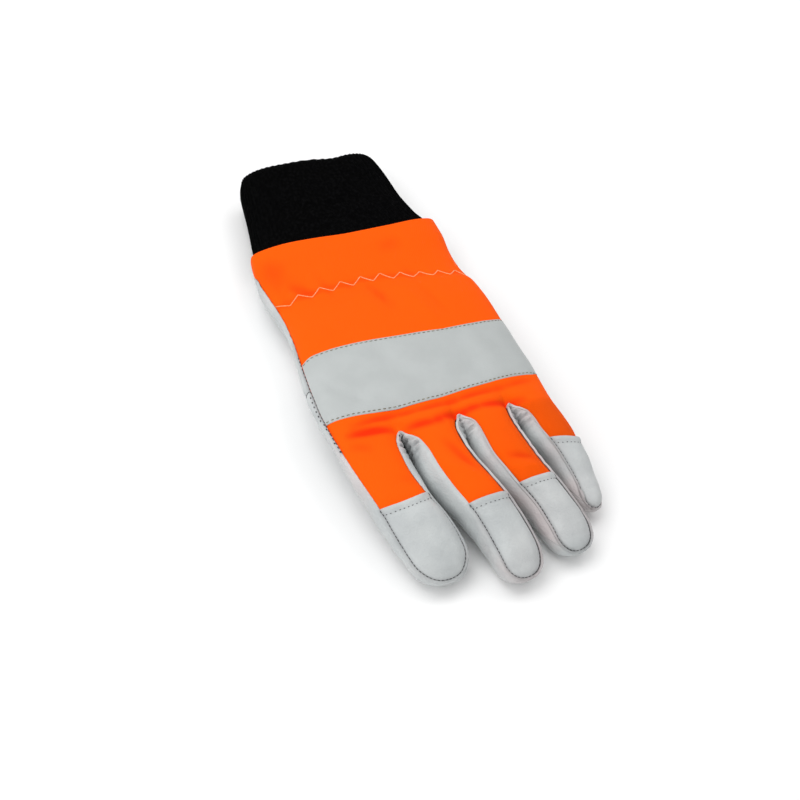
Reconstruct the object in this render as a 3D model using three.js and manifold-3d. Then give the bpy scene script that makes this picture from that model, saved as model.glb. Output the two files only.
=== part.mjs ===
// Work glove for the left hand, lying palm down on a surface.
// A black knit cuff is sewn inside the hem of a woven back, a pale band crosses the knuckles,
// and grey leather makes the palm, the thumb under it, the gussets between fingers and the fingertip caps.
// Millimetres: +X points to the little finger, -Y to the fingertips and +Z up from the surface.

import * as THREE from 'three';
import { mergeVertices } from 'three/addons/utils/BufferGeometryUtils.js';
import Module from 'manifold-3d';

const wasm = await Module();
wasm.setup();

// Driving dimensions

const HALF_LENGTH = 137; // rim of the cuff and tip of the middle finger, from the origin
const HALF_WIDTH = 59; // index knuckle and gauntlet's corner, from the origin
const HEM_Y = 80.5; // open end of the gauntlet
const CUFF_NEST = 10; // length of knit sewn inside the hem
const WALL = 1.6; // leather and woven back
const KNIT_WALL = 2.4; // knit between its ribs
const RIB_HEIGHT = 0.5;
const RIB_COUNT = 30;
const BAND_THICKNESS = 1;
const CROTCH_Y = -51; // front edge of the back between two fingers
const GAP = 0.3; // clearance between two sewn pieces
const SKY = 80; // a height above the whole glove, for cutting blocks
const BEYOND = 64; // an edge outside the glove, for cutting blocks
const PAST_END = 2; // how far a cut runs past the end that it opens
const LEAST_STATION = 1; // least distance between two sections
const HALVES_LAP = 0.05; // overlap of two cutting blocks that meet

// How round each section is: 2 is an ellipse, larger is boxier.
const HAND_SQUARENESS = 2.5;
const FINGER_SQUARENESS = 2.35;
const HAND_SIDES = 28;
const FINGER_SIDES = 16;
const TIP_ROUND = 13; // length over which a fingertip closes
const TIP_STEPS = 4;
const TIP_SEAM = 2; // from a fingertip back to the seam of its cap
const TIP_SEAM_OPEN = 0.12; // share of a cap's width that is left at its seam
const TONGUE_LAP = 5; // length of a finger's back that runs under the hand's back

// Tables

// A section at one y: its two edges in x, its underside, the height of its widest line and of
// its crown at each edge, all in millimetres.
const SECTION = ['y', 'left', 'right', 'floor', 'sideLeft', 'sideRight', 'topLeft', 'topRight'];
// A finger's section also says where the two seams of its back run.
const FINGER_SECTION = [...SECTION, 'seamLeft', 'seamRight'];

const HAND_ROWS = table(SECTION, [
  [HEM_Y, -44.6, 59.0, -0.5, 14.0, 12.0, 26.6, 26.2],
  [70, -46.4, 58.7, -0.5, 14.0, 12.5, 26.8, 26.5],
  [58, -49.6, 57.6, -0.5, 14.5, 13.0, 26.3, 25.8],
  [44, -50.2, 56.0, 1.5, 16.0, 14.5, 26.0, 25.0],
  [32, -52.0, 57.4, 5.0, 18.5, 16.0, 29.2, 27.2],
  [18, -54.2, 58.0, 10.5, 20.5, 17.0, 31.6, 28.5],
  [2, -56.6, 57.6, 14.2, 21.5, 17.0, 32.6, 28.4],
  [-18, -58.6, 56.6, 15.0, 21.8, 17.0, 32.6, 28.0],
  [-34, -HALF_WIDTH, 55.6, 15.0, 21.8, 17.0, 32.4, 27.4],
  [-43, -58.6, 55.4, 14.4, 21.6, 16.6, 31.0, 26.5],
  [-50, -58.0, 55.4, 13.8, 21.4, 16.2, 30.2, 26.0],
  [-54, -57.0, 55.2, 13.8, 20.6, 15.8, 27.0, 23.4],
  [-57, -55.6, 55.0, 14.2, 19.0, 15.0, 21.8, 18.6],
]);

const FINGERS = {
  index: {
    tip: -124,
    nose: 8.0,
    capLine: -85.4,
    rows: table(FINGER_SECTION, [
      [-34, -57.0, -27.5, 16.0, 22.0, 21.0, 29.0, 30.5, -56.0, -29.3],
      [-52, -57.0, -27.3, 13.0, 21.0, 21.0, 29.0, 30.5, -54.2, -29.3],
      [-70, -55.3, -27.5, 10.0, 18.5, 19.0, 27.8, 29.3, -52.7, -32.0],
      [-86, -53.8, -26.6, 6.0, 16.5, 17.5, 25.8, 28.0, -52.6, -29.3],
      [-96, -52.6, -23.9, 4.0, 15.0, 15.5, 23.5, 26.0, -51.9, -25.4],
      [-106, -50.2, -21.6, 2.0, 12.0, 12.5, 19.5, 21.8, -50.2, -23.1],
      [-114, -48.0, -21.0, 0.8, 9.5, 10.5, 16.0, 17.5, -47.2, -22.6],
      [-120, -46.2, -21.8, -0.3, 8.5, 9.0, 13.5, 14.5, -45.6, -23.6],
    ]),
  },
  middle: {
    tip: -HALF_LENGTH,
    nose: 8.5,
    capLine: -97.6,
    rows: table(FINGER_SECTION, [
      [-34, -27.0, 4.5, 16.0, 23.0, 22.0, 30.5, 30.0, -23.8, 1.0],
      [-52, -25.5, 3.5, 13.5, 22.0, 21.5, 30.5, 30.3, -23.8, 0.8],
      [-61, -24.6, 1.8, 12.0, 21.5, 21.0, 30.5, 30.2, -20.9, -1.1],
      [-74, -24.8, 2.4, 10.0, 20.0, 19.5, 30.0, 30.0, -22.1, -0.5],
      [-86, -22.2, 5.2, 8.0, 18.5, 18.0, 29.2, 29.2, -20.0, 2.4],
      [-98, -17.8, 7.8, 5.5, 16.5, 16.0, 27.6, 27.4, -15.2, 4.9],
      [-110, -14.2, 10.1, 2.5, 13.0, 13.0, 23.5, 23.2, -11.6, 7.6],
      [-121, -12.0, 10.9, 0.5, 10.5, 11.0, 19.0, 19.2, -10.0, 9.0],
      [-130, -11.6, 10.8, -0.5, 9.0, 9.5, 15.5, 15.5, -9.0, 9.3],
    ]),
  },
  ring: {
    tip: -131.4,
    nose: 8.2,
    capLine: -93.6,
    rows: table(FINGER_SECTION, [
      [-34, 3.5, 32.0, 16.0, 22.0, 20.0, 30.0, 27.3, 6.5, 28.5],
      [-52, 4.6, 31.0, 13.0, 21.0, 19.0, 30.0, 28.0, 6.5, 28.3],
      [-62, 5.2, 31.0, 11.8, 20.0, 18.0, 29.8, 27.8, 8.8, 28.4],
      [-74, 5.6, 32.0, 9.8, 18.5, 17.0, 29.2, 27.0, 8.4, 29.3],
      [-85, 8.3, 33.6, 7.5, 17.0, 15.5, 27.8, 25.2, 10.9, 30.6],
      [-94, 12.3, 35.4, 5.3, 15.5, 14.5, 25.9, 24.0, 14.8, 32.7],
      [-105, 16.2, 38.4, 2.8, 12.5, 12.0, 22.2, 20.6, 18.6, 36.0],
      [-114, 17.6, 40.2, 0.8, 10.0, 10.0, 18.6, 17.6, 20.3, 38.5],
      [-124, 18.6, 40.6, -0.5, 8.5, 8.5, 15.0, 14.6, 21.4, 39.3],
    ]),
  },
  little: {
    tip: -110.8,
    nose: 7.6,
    capLine: -74.0,
    rows: table(FINGER_SECTION, [
      [-34, 31.0, 55.0, 16.0, 20.0, 17.0, 26.5, 22.5, 34.0, BEYOND],
      [-52, 33.0, 55.2, 12.3, 18.5, 14.5, 26.3, 22.2, 34.5, BEYOND],
      [-60, 35.0, 56.3, 10.8, 17.5, 13.8, 26.2, 21.8, 38.9, BEYOND],
      [-68, 36.2, 57.5, 8.8, 16.0, 13.0, 25.2, 20.8, 39.7, BEYOND],
      [-76, 39.0, 58.4, 6.5, 14.5, 11.8, 23.0, 19.0, 42.2, BEYOND],
      [-86, 41.6, 58.8, 4.0, 12.0, 10.5, 19.3, 16.8, 45.0, BEYOND],
      [-95, 42.4, 57.6, 1.8, 10.0, 9.5, 16.0, 15.0, 45.8, BEYOND],
      [-103, 42.8, 56.4, -0.2, 8.5, 8.5, 13.6, 13.4, 46.0, BEYOND],
    ]),
  },
};

const THUMB = {
  tip: -53,
  nose: 6.2,
  rows: table(SECTION, [
    [42, -42.0, -14.0, 12.0, 17.0, 17.0, 23.0, 23.0],
    [26, -43.0, -13.5, 2.0, 11.0, 11.0, 19.0, 19.0],
    [12, -43.5, -12.5, -0.3, 7.5, 7.5, 15.0, 15.0],
    [-4, -42.5, -11.5, -0.5, 6.6, 6.6, 13.6, 13.6],
    [-24, -40.0, -10.0, -0.5, 6.4, 6.4, 13.2, 13.2],
    [-44, -36.5, -8.5, -0.5, 6.0, 6.0, 12.2, 12.2],
  ]),
};

// The knit past the hem; its underside lies on the surface.
const CUFF_ROWS = table(SECTION, [
  [92, -39.6, 53.8, -0.4, 13.2, 12.0, 24.8, 24.4],
  [106, -35.6, 52.0, -0.5, 13.0, 12.0, 24.8, 24.4],
  [124, -31.0, 51.6, -0.5, 13.0, 12.3, 24.9, 24.6],
  [HALF_LENGTH, -28.0, 50.4, -0.5, 13.0, 12.4, 25.0, 24.4],
]);

// Left edge of the woven back; it wraps the side of the gauntlet for the last stretch to the hem.
const BACK_EDGE = table(['y', 'left'], [
  [-51, -54.6],
  [-36, -56.4],
  [-17, -55.6],
  [3, -53.0],
  [33, -48.2],
  [46, -46.8],
  [58, -47.8],
  [68, -BEYOND],
  [90, -BEYOND],
]);

// The knuckle band in plan: the y of its two edges across the hand.
const BAND = table(['x', 'top', 'bottom'], [
  [-60, 1.5, -34.6],
  [-48, 4.7, -36.5],
  [-36, 4.4, -38.8],
  [-22, 3.2, -40.3],
  [-2, 1.1, -40.2],
  [20, -0.8, -39.2],
  [42, 0.2, -37.7],
  [BEYOND, 3.4, -36.6],
]);
const BAND_INSET = 0.4; // from the leather's seam to the left end of the band
const BAND_END_LIFT = 1; // from the widest line up to the ends of the band
const BAND_BACK_Y = 40; // a station behind the band

// Each gusset joins the finger on its left to the finger on its right.
const GUSSETS = table(['name', 'leftFinger', 'rightFinger'], [
  ['index_middle_gusset', 'index', 'middle'],
  ['middle_ring_gusset', 'middle', 'ring'],
  ['ring_little_gusset', 'ring', 'little'],
]);
const GUSSET_BACK_Y = -45;
const GUSSET_TIP_MARGIN = 15; // a gusset runs out this far short of the fingertip
const GUSSET_LOW_SHARE = 0.45; // height of its palm seam, from the finger's underside to its widest line

const FINISHES = {
  knit: { color: 0x050506, roughness: 0.95, metalness: 0 },
  woven: { color: 0xff5f05, roughness: 0.75, metalness: 0 },
  band: { color: 0xc4cacc, roughness: 0.6, metalness: 0 },
  leather: { color: 0xc3cbce, roughness: 0.7, metalness: 0 },
};

// Table and number helpers

function table(columns, rows) {
  return rows.map((row) => Object.fromEntries(columns.map((name, i) => [name, row[i]])));
}

function lerp(a, b, share) {
  return a + (b - a) * share;
}

function signedPower(value, power) {
  return Math.sign(value) * Math.abs(value) ** power;
}

// Slopes of a curve through the rows that never overshoots them.
function steadySlopes(at, values) {
  const steps = values.slice(1).map((value, i) => (value - values[i]) / (at[i + 1] - at[i]));
  return values.map((_, i) => {
    const before = steps[Math.max(i - 1, 0)];
    const after = steps[Math.min(i, steps.length - 1)];
    return before * after <= 0 ? 0 : (2 * before * after) / (before + after);
  });
}

// All columns of a table at any y between its first and last row.
function rowAt(rows, y) {
  const sorted = [...rows].sort((a, b) => a.y - b.y);
  const at = sorted.map((row) => row.y);
  const inside = Math.min(Math.max(y, at[0]), at.at(-1));
  const i = Math.max(at.findLastIndex((start, j) => start <= inside && j < at.length - 1), 0);
  const width = at[i + 1] - at[i];
  const t = (inside - at[i]) / width;
  const result = { y };
  for (const column of Object.keys(rows[0]).filter((name) => name !== 'y')) {
    const values = sorted.map((row) => row[column]);
    const slopes = steadySlopes(at, values);
    const rise = 3 * t ** 2 - 2 * t ** 3;
    const leave = (t ** 3 - 2 * t ** 2 + t) * width * slopes[i];
    const arrive = (t ** 3 - t ** 2) * width * slopes[i + 1];
    result[column] = lerp(values[i], values[i + 1], rise) + leave + arrive;
  }
  return result;
}

// A section moved in on every side by the same amount; a negative amount grows it.
function insetRow(row, amount) {
  return {
    ...row,
    left: row.left + amount,
    right: row.right - amount,
    floor: row.floor + amount,
    topLeft: row.topLeft - amount,
    topRight: row.topRight - amount,
  };
}

// A section drawn in towards its middle by a share, for the round end of a finger.
function closedRow(row, nose, open) {
  const middle = (row.left + row.right) / 2;
  return {
    y: row.y,
    left: lerp(middle, row.left, open),
    right: lerp(middle, row.right, open),
    floor: lerp(nose, row.floor, open),
    sideLeft: lerp(nose, row.sideLeft, open),
    sideRight: lerp(nose, row.sideRight, open),
    topLeft: lerp(nose, row.topLeft, open),
    topRight: lerp(nose, row.topRight, open),
  };
}

// Solids

// One closed section: the widest line slants from edge to edge, with the crown over it.
function ringAt(row, sides, squareness, ribHeight = 0) {
  const middle = (row.left + row.right) / 2;
  const half = (row.right - row.left) / 2;
  const ring = [];
  for (let i = 0; i < sides; i += 1) {
    const turn = (2 * Math.PI * i) / sides;
    const across = signedPower(Math.cos(turn), 2 / squareness);
    const rise = signedPower(Math.sin(turn), 2 / squareness);
    const share = (across + 1) / 2;
    const side = lerp(row.sideLeft, row.sideRight, share);
    const top = lerp(row.topLeft, row.topRight, share);
    const reach = rise > 0 ? top - side : side - row.floor;
    const rib = i % 2 === 0 ? 0 : -ribHeight;
    const x = middle + across * (half + rib);
    const z = side + rise * (reach + rib);
    ring.push(new THREE.Vector3(x, row.y, z));
  }
  return ring;
}

// A closed solid through rings that run towards -Y, each end a fan to its own centre.
function loft(rings, startCentre, endCentre) {
  const sides = rings[0].length;
  const points = [...rings.flat(), startCentre, endCentre];
  const start = points.length - 2;
  const end = points.length - 1;
  const last = (rings.length - 1) * sides;
  const index = [];
  for (let i = 0; i < sides; i += 1) {
    const next = (i + 1) % sides;
    index.push(start, next, i);
    index.push(end, last + i, last + next);
    for (let ring = 0; ring < rings.length - 1; ring += 1) {
      const near = ring * sides;
      const far = near + sides;
      index.push(near + i, far + next, far + i);
      index.push(near + i, near + next, far + next);
    }
  }
  const geometry = new THREE.BufferGeometry().setFromPoints(points);
  geometry.setIndex(index);
  return solidOf(geometry);
}

function solidOf(geometry) {
  const mesh = new wasm.Mesh({
    numProp: 3,
    vertProperties: geometry.getAttribute('position').array,
    triVerts: new Uint32Array(geometry.index.array),
  });
  return new wasm.Manifold(mesh);
}

function centreOf(ring) {
  const sum = ring.reduce((total, point) => total.add(point), new THREE.Vector3());
  return sum.divideScalar(ring.length);
}

function flatEndedLoft(rings) {
  return loft(rings, centreOf(rings[0]), centreOf(rings.at(-1)));
}

// Stations from a start to an end, the table's own rows among them.
function stations(rows, from, to) {
  const between = rows.map((row) => row.y).filter((y) => y < from - LEAST_STATION && y > to + LEAST_STATION);
  return [from, ...between.sort((a, b) => b - a), to];
}

function handSolid(inset, from = HEM_Y) {
  const front = HAND_ROWS.at(-1).y + inset;
  const rings = stations(HAND_ROWS, from, front).map((y) =>
    ringAt(insetRow(rowAt(HAND_ROWS, y), inset), HAND_SIDES, HAND_SQUARENESS),
  );
  return flatEndedLoft(rings);
}

// The y stations of a fingertip's round end and how far each section is still open.
function tipStations(tip) {
  const steps = [];
  for (let i = 0; i < TIP_STEPS; i += 1) {
    const turn = (i / TIP_STEPS) * (Math.PI / 2);
    steps.push({ y: tip + TIP_ROUND * (1 - Math.sin(turn)), open: Math.cos(turn) });
  }
  return steps;
}

// A finger's sections from its root to its tip, each moved in by the inset.
function fingerSections(finger, inset) {
  const tip = finger.tip + inset;
  const root = Math.max(...finger.rows.map((row) => row.y)) - inset;
  const straight = stations(finger.rows, root, tip + TIP_ROUND).slice(0, -1);
  const body = straight.map((y) => ({ y, open: 1 }));
  return [...body, ...tipStations(tip)].map(({ y, open }) =>
    closedRow(insetRow(rowAt(finger.rows, y), inset), finger.nose, open),
  );
}

function fingerSolid(finger, inset) {
  const rings = fingerSections(finger, inset).map((row) => ringAt(row, FINGER_SIDES, FINGER_SQUARENESS));
  const end = rowAt(finger.rows, finger.tip);
  const apex = new THREE.Vector3((end.left + end.right) / 2, finger.tip + inset, finger.nose);
  return loft(rings, centreOf(rings[0]), apex);
}

// A cutting block: it stands on a slanting line at each section and reaches to the sky.
function block(rows, grow = 0) {
  const lastIndex = rows.length - 1;
  const rings = rows.map((row, i) => {
    const y = row.y + (i === 0 ? grow : 0) - (i === lastIndex ? grow : 0);
    return [
      new THREE.Vector3(row.right + grow, y, row.lowRight - grow),
      new THREE.Vector3(row.right + grow, y, SKY),
      new THREE.Vector3(row.left - grow, y, SKY),
      new THREE.Vector3(row.left - grow, y, row.lowLeft - grow),
    ];
  });
  return flatEndedLoft(rings);
}

function union(solids) {
  return solids.reduce((total, solid) => total.add(solid));
}

// Regions of the back

// The woven back over the hand, from the hem to the crotches.
function handBackRows() {
  const ys = [HEM_Y + PAST_END, ...BACK_EDGE.map((row) => row.y).filter((y) => y < HEM_Y), CROTCH_Y];
  return [...new Set(ys)].sort((a, b) => b - a).map((y) => {
    const row = rowAt(HAND_ROWS, y);
    const left = rowAt(BACK_EDGE, y).left;
    return { y, left, right: BEYOND, lowLeft: row.sideLeft, lowRight: row.sideRight };
  });
}

// The part of a finger's back between its two seams, from one y to another.
function fingerBackRows(finger, from, to) {
  const tip = finger.tip + TIP_SEAM;
  const closes = to < tip + TIP_ROUND;
  const inner = stations(finger.rows, from, closes ? tip + TIP_ROUND : to);
  const straight = inner.map((y) => ({ y, open: 1 }));
  const end = closes ? [...tipStations(tip).slice(1), { y: tip, open: TIP_SEAM_OPEN }] : [];
  return [...straight, ...end].map(({ y, open }) => {
    const row = rowAt(finger.rows, y);
    const middle = (row.left + row.right) / 2;
    const closed = closedRow(row, finger.nose, open);
    return {
      y,
      left: lerp(middle, row.seamLeft, open),
      right: lerp(middle, row.seamRight, open),
      lowLeft: closed.sideLeft,
      lowRight: closed.sideRight,
    };
  });
}

function capRegion(finger, grow) {
  return block(fingerBackRows(finger, finger.capLine, finger.tip), grow);
}

function wovenRegion(grow) {
  const tongues = Object.values(FINGERS).map((finger) =>
    block(fingerBackRows(finger, CROTCH_Y + TONGUE_LAP, finger.capLine + GAP), grow),
  );
  return union([block(handBackRows(), grow), ...tongues]);
}

function fingerMiddle(finger, y) {
  const row = rowAt(finger.rows, y);
  return (row.left + row.right) / 2;
}

function palmSeamHeight(finger, y) {
  const row = rowAt(finger.rows, y);
  return lerp(row.floor, (row.sideLeft + row.sideRight) / 2, GUSSET_LOW_SHARE) + WALL / 2;
}

// The facing walls of two fingers and the web between them, above their palm seams.
function gussetRegion(leftFinger, rightFinger, grow) {
  const halfRows = (finger, isLeftFinger) => {
    const end = finger.tip + GUSSET_TIP_MARGIN;
    const ys = stations(finger.rows, GUSSET_BACK_Y, end);
    return ys.map((y) => {
      const slit = (rowAt(leftFinger.rows, y).right + rowAt(rightFinger.rows, y).left) / 2;
      const middle = fingerMiddle(finger, y);
      const low = palmSeamHeight(finger, y);
      const left = isLeftFinger ? middle : slit;
      const right = isLeftFinger ? slit : middle;
      return { y, left, right, lowLeft: low, lowRight: low };
    });
  };
  const leftRows = halfRows(leftFinger, true).map((row) => ({ ...row, right: row.right + HALVES_LAP }));
  return block(leftRows, grow).add(block(halfRows(rightFinger, false), grow));
}

// Pieces

function gloveShell() {
  const fingers = Object.values(FINGERS);
  const outer = union([handSolid(0), ...fingers.map((finger) => fingerSolid(finger, 0))]);
  const mouth = HEM_Y + PAST_END;
  const inner = union([handSolid(WALL, mouth), ...fingers.map((finger) => fingerSolid(finger, WALL))]);
  return outer.subtract(inner);
}

// An upright prism over the band's outline.
function bandPrism() {
  const outline = [
    ...BAND.map((row) => new THREE.Vector2(row.x, row.top)),
    ...BAND.toReversed().map((row) => new THREE.Vector2(row.x, row.bottom)),
  ];
  const prism = new THREE.ExtrudeGeometry(new THREE.Shape(outline), { depth: SKY, bevelEnabled: false });
  prism.deleteAttribute('normal');
  prism.deleteAttribute('uv');
  return solidOf(mergeVertices(prism));
}

function knuckleBand() {
  const roots = Object.values(FINGERS).map((finger) => fingerSolid(finger, -GAP));
  const overBack = handSolid(-GAP - BAND_THICKNESS).subtract(union([handSolid(-GAP), ...roots]));
  const rows = BACK_EDGE.filter((row) => row.y < BAND_BACK_Y).map(({ y, left }) => {
    const { sideLeft, sideRight } = rowAt(HAND_ROWS, y);
    const lowLeft = sideLeft + BAND_END_LIFT;
    return { y, left: left + BAND_INSET, right: BEYOND, lowLeft, lowRight: sideRight + BAND_END_LIFT };
  });
  return overBack.intersect(block(rows.toReversed())).intersect(bandPrism());
}

// A knit section: inside the gauntlet it follows the hem's own shape, a gap away.
function cuffRow(y, inset) {
  if (y <= HEM_Y) {
    return insetRow(rowAt(HAND_ROWS, y), WALL + GAP + inset);
  }
  return insetRow(rowAt(CUFF_ROWS, y), inset);
}

function knitCuff() {
  const ys = [...CUFF_ROWS.toReversed().map((row) => row.y), HEM_Y, HEM_Y - CUFF_NEST];
  const outer = flatEndedLoft(
    ys.map((y) => ringAt(cuffRow(y, 0), 2 * RIB_COUNT, HAND_SQUARENESS, RIB_HEIGHT)),
  );
  const inset = RIB_HEIGHT + KNIT_WALL;
  const through = [HALF_LENGTH + PAST_END, ...ys.slice(1, -1), HEM_Y - CUFF_NEST - PAST_END];
  const inner = flatEndedLoft(
    through.map((y) => ringAt({ ...cuffRow(y, inset), y }, RIB_COUNT, HAND_SQUARENESS)),
  );
  return outer.subtract(inner);
}

// Trims a solid to the surface that the glove lies on.
function settled(solid) {
  return solid.trimByPlane([0, 0, 1], 0);
}

function piece(name, solid, finish) {
  const trimmed = settled(solid).getMesh();
  const geometry = new THREE.BufferGeometry();
  geometry.setAttribute('position', new THREE.BufferAttribute(trimmed.vertProperties, trimmed.numProp));
  geometry.setIndex(new THREE.BufferAttribute(trimmed.triVerts, 1));
  geometry.computeVertexNormals();
  const mesh = new THREE.Mesh(geometry, new THREE.MeshStandardMaterial(finish));
  mesh.name = name;
  return mesh;
}

function makeGlove() {
  const glove = new THREE.Group();
  const shell = gloveShell();
  const thumbInner = fingerSolid(THUMB, WALL);
  const thumb = fingerSolid(THUMB, 0).subtract(handSolid(-GAP)).subtract(thumbInner);
  const hollow = shell.subtract(thumbInner);

  glove.add(piece('knit_cuff', knitCuff(), FINISHES.knit));
  glove.add(piece('back_panel', hollow.intersect(wovenRegion(0)), FINISHES.woven));
  glove.add(piece('knuckle_band', knuckleBand(), FINISHES.band));

  let palm = hollow.subtract(wovenRegion(GAP));
  for (const [name, finger] of Object.entries(FINGERS)) {
    glove.add(piece(`${name}_cap`, hollow.intersect(capRegion(finger, 0)), FINISHES.leather));
    palm = palm.subtract(capRegion(finger, GAP));
  }
  for (const { name, leftFinger, rightFinger } of GUSSETS) {
    const between = [FINGERS[leftFinger], FINGERS[rightFinger]];
    const backs = union([wovenRegion(GAP), ...between.map((finger) => capRegion(finger, GAP))]);
    const gusset = hollow.intersect(gussetRegion(...between, 0)).subtract(backs);
    glove.add(piece(name, gusset, FINISHES.leather));
    palm = palm.subtract(gussetRegion(...between, GAP));
  }
  glove.add(piece('palm_panel', palm, FINISHES.leather));
  glove.add(piece('thumb', thumb, FINISHES.leather));
  return glove;
}

export default makeGlove();
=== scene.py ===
"""A high-visibility leather work glove for the left hand, lying palm down.

Every sewn panel is a grid that is bent between the glove's own seams, then pinched at each
seam and given its folds. Sizes are millimetres until a piece is finished, and metres after.
"""

import logging
import math
from dataclasses import dataclass, field
from enum import Enum
from functools import partial
from typing import Any, Callable, Sequence

import bmesh
import bpy
from mathutils import Matrix, Vector, kdtree, noise
from mathutils.bvhtree import BVHTree


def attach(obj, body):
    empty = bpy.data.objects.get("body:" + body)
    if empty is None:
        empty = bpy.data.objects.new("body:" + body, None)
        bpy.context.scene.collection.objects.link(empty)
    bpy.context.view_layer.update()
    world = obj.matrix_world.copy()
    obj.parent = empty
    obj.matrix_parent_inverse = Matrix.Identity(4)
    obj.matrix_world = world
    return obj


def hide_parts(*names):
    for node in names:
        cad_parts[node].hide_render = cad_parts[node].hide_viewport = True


Triple = tuple[float, float, float]
Line = Sequence[Vector]
Mesh = bmesh.types.BMesh
Material = bpy.types.Material

LOG = logging.getLogger("glove")
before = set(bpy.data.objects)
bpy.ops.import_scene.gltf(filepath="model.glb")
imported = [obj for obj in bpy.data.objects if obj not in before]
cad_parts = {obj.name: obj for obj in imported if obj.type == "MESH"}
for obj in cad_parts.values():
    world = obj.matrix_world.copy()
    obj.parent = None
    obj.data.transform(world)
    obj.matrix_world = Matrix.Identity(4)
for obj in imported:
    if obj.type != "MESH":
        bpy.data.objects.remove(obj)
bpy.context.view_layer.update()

MM = 0.001
UV_SPAN = 250.0  # millimetres of cloth to one unit of a piece's UV map
HEM_Y = 80.5
RIM_Y = 137.0
CROTCH_Y = -52.4
TIP_ROUND = 13.0
TIP_WALK = 0.9  # length of the walk round a fingertip, as a share of a half circle
CAP_LIP = 0.7  # how far the caps' upper edges lie below their plain lines
HAND_SQUARENESS = 2.5
FINGER_SQUARENESS = 2.35
REST_Z = 0.05  # lowest point of a piece that lies on the floor
WELD = 0.02  # points of joined panels that are closer than this become one
HEM_WAVE_Y = 52.0  # the hem's wave fades in from here
HEM_WAVE_RUN = 28.0  # over this way
SHADE_REACH = 1.3  # millimetres from a seam over which its painted shade fades
SHADED_TOP = 20.0  # the strip's seam gets painted shade below this y
LITTLE_SEAM_END = 0.62  # the little finger's outer side has no seam past this share of the walk
# seam_near holds the painted shade along the seams; fold holds how deep the creases are, which the
# finishes paint darker as painted shade
NEAR_LAYER = "seam_near"
FOLD_LAYER = "fold"


class Slot(Enum):
    """The record's material slots."""

    WOVEN = "woven"
    LEATHER = "leather"
    BAND = "band"
    KNIT = "knit"


class Side(Enum):
    """The two long sides of a finger."""

    LEFT = -1
    RIGHT = 1


def lerp(a: float, b: float, share: float) -> float:
    """A number between a and b."""
    return a + (b - a) * share


def smooth(share: float) -> float:
    """A share from 0 to 1 that leaves and arrives level."""
    share = min(max(share, 0.0), 1.0)
    return share * share * (3 - 2 * share)


def signed_power(value: float, power: float) -> float:
    """A power that keeps the sign of its base."""
    return math.copysign(abs(value) ** power, value)


def bell(off: float) -> float:
    """A soft bump: 1 in its middle, and nearly nothing at twice its width."""
    return math.exp(-(off**2))


def trace(
    place: Callable[[float], Vector], steps: int, first: float = 0.0, last: float = 1.0
) -> list[Vector]:
    """Points of a curve at even steps between two of its places."""
    return [place(lerp(first, last, k / steps)) for k in range(steps + 1)]


# Stations of the hand and fingers


@dataclass(frozen=True)
class Section:
    """One section across the glove, in millimetres: its edges, underside, widest line and crown."""

    y: float
    left: float
    right: float
    floor: float
    side_left: float
    side_right: float
    top_left: float
    top_right: float

    @property
    def middle(self) -> float:
        """The x halfway across."""
        return (self.left + self.right) / 2

    @property
    def half(self) -> float:
        """Half of the width."""
        return (self.right - self.left) / 2

    @property
    def core(self) -> Vector:
        """A point well inside."""
        return Vector((self.middle, self.y, (self.side_left + self.side_right) / 2))

    def at(self, across: float, rise: float) -> Vector:
        """A point of the section.

        Args:
            across: From -1 at the left edge to 1 at the right edge.
            rise: From -1 at the underside through 0 on the widest line to 1 at the crown.

        Returns:
            The point in millimetres.
        """
        share = (across + 1) / 2
        side = lerp(self.side_left, self.side_right, share)
        top = lerp(self.top_left, self.top_right, share)
        reach = top - side if rise > 0 else side - self.floor
        return Vector((self.middle + across * self.half, self.y, side + rise * reach))

    def point(self, turn: float, squareness: float) -> Vector:
        """A point of the outline at an angle from its right edge, over the crown."""
        power = 2 / squareness
        return self.at(signed_power(math.cos(turn), power), signed_power(math.sin(turn), power))

    def turn_over(self, x: float, squareness: float) -> float:
        """The angle at which the upper outline passes over x."""
        across = min(max((x - self.middle) / self.half, -1.0), 1.0)
        return math.acos(signed_power(across, squareness / 2))


class Stations:
    """Rows of named sizes along the glove, joined by curves that never overshoot."""

    def __init__(self, rows: Sequence[Sequence[float]]) -> None:
        """Args:
        rows: Each row's y, then its other sizes.
        """
        ordered = sorted(rows)
        self.at = [row[0] for row in ordered]
        self.columns = [list(column) for column in zip(*[row[1:] for row in ordered])]
        self.slopes = [self._slopes(column) for column in self.columns]
        self.known: dict[float, list[float]] = {}

    def _slopes(self, values: list[float]) -> list[float]:
        """Slopes at the rows: level at a peak, else the harmonic mean of both sides.

        Args:
            values: One size at every row.

        Returns:
            The slope at every row.
        """
        steps = [
            (values[i + 1] - values[i]) / (self.at[i + 1] - self.at[i])
            for i in range(len(values) - 1)
        ]
        slopes = []
        for i in range(len(values)):
            before, after = steps[max(i - 1, 0)], steps[min(i, len(steps) - 1)]
            slopes.append(0.0 if before * after <= 0 else 2 * before * after / (before + after))
        return slopes

    def values(self, y: float) -> list[float]:
        """All sizes at any y, held past both ends.

        Args:
            y: The station.

        Returns:
            The sizes in the order of the rows.
        """
        inside = round(min(max(y, self.at[0]), self.at[-1]), 3)
        if inside not in self.known:
            last = len(self.at) - 2
            i = max(j for j in range(last + 1) if self.at[j] <= inside or j == 0)
            width = self.at[i + 1] - self.at[i]
            t = (inside - self.at[i]) / width
            rise = 3 * t**2 - 2 * t**3
            leave, arrive = (t**3 - 2 * t**2 + t) * width, (t**3 - t**2) * width
            self.known[inside] = [
                lerp(v[i], v[i + 1], rise) + leave * s[i] + arrive * s[i + 1]
                for v, s in zip(self.columns, self.slopes)
            ]
        return self.known[inside]

    def section(self, y: float) -> Section:
        """The section at a station."""
        return Section(y, *self.values(y))

    def core(self, point: Vector) -> Vector:
        """A point inside, beside a point of the surface."""
        return self.section(point.y).core


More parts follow.
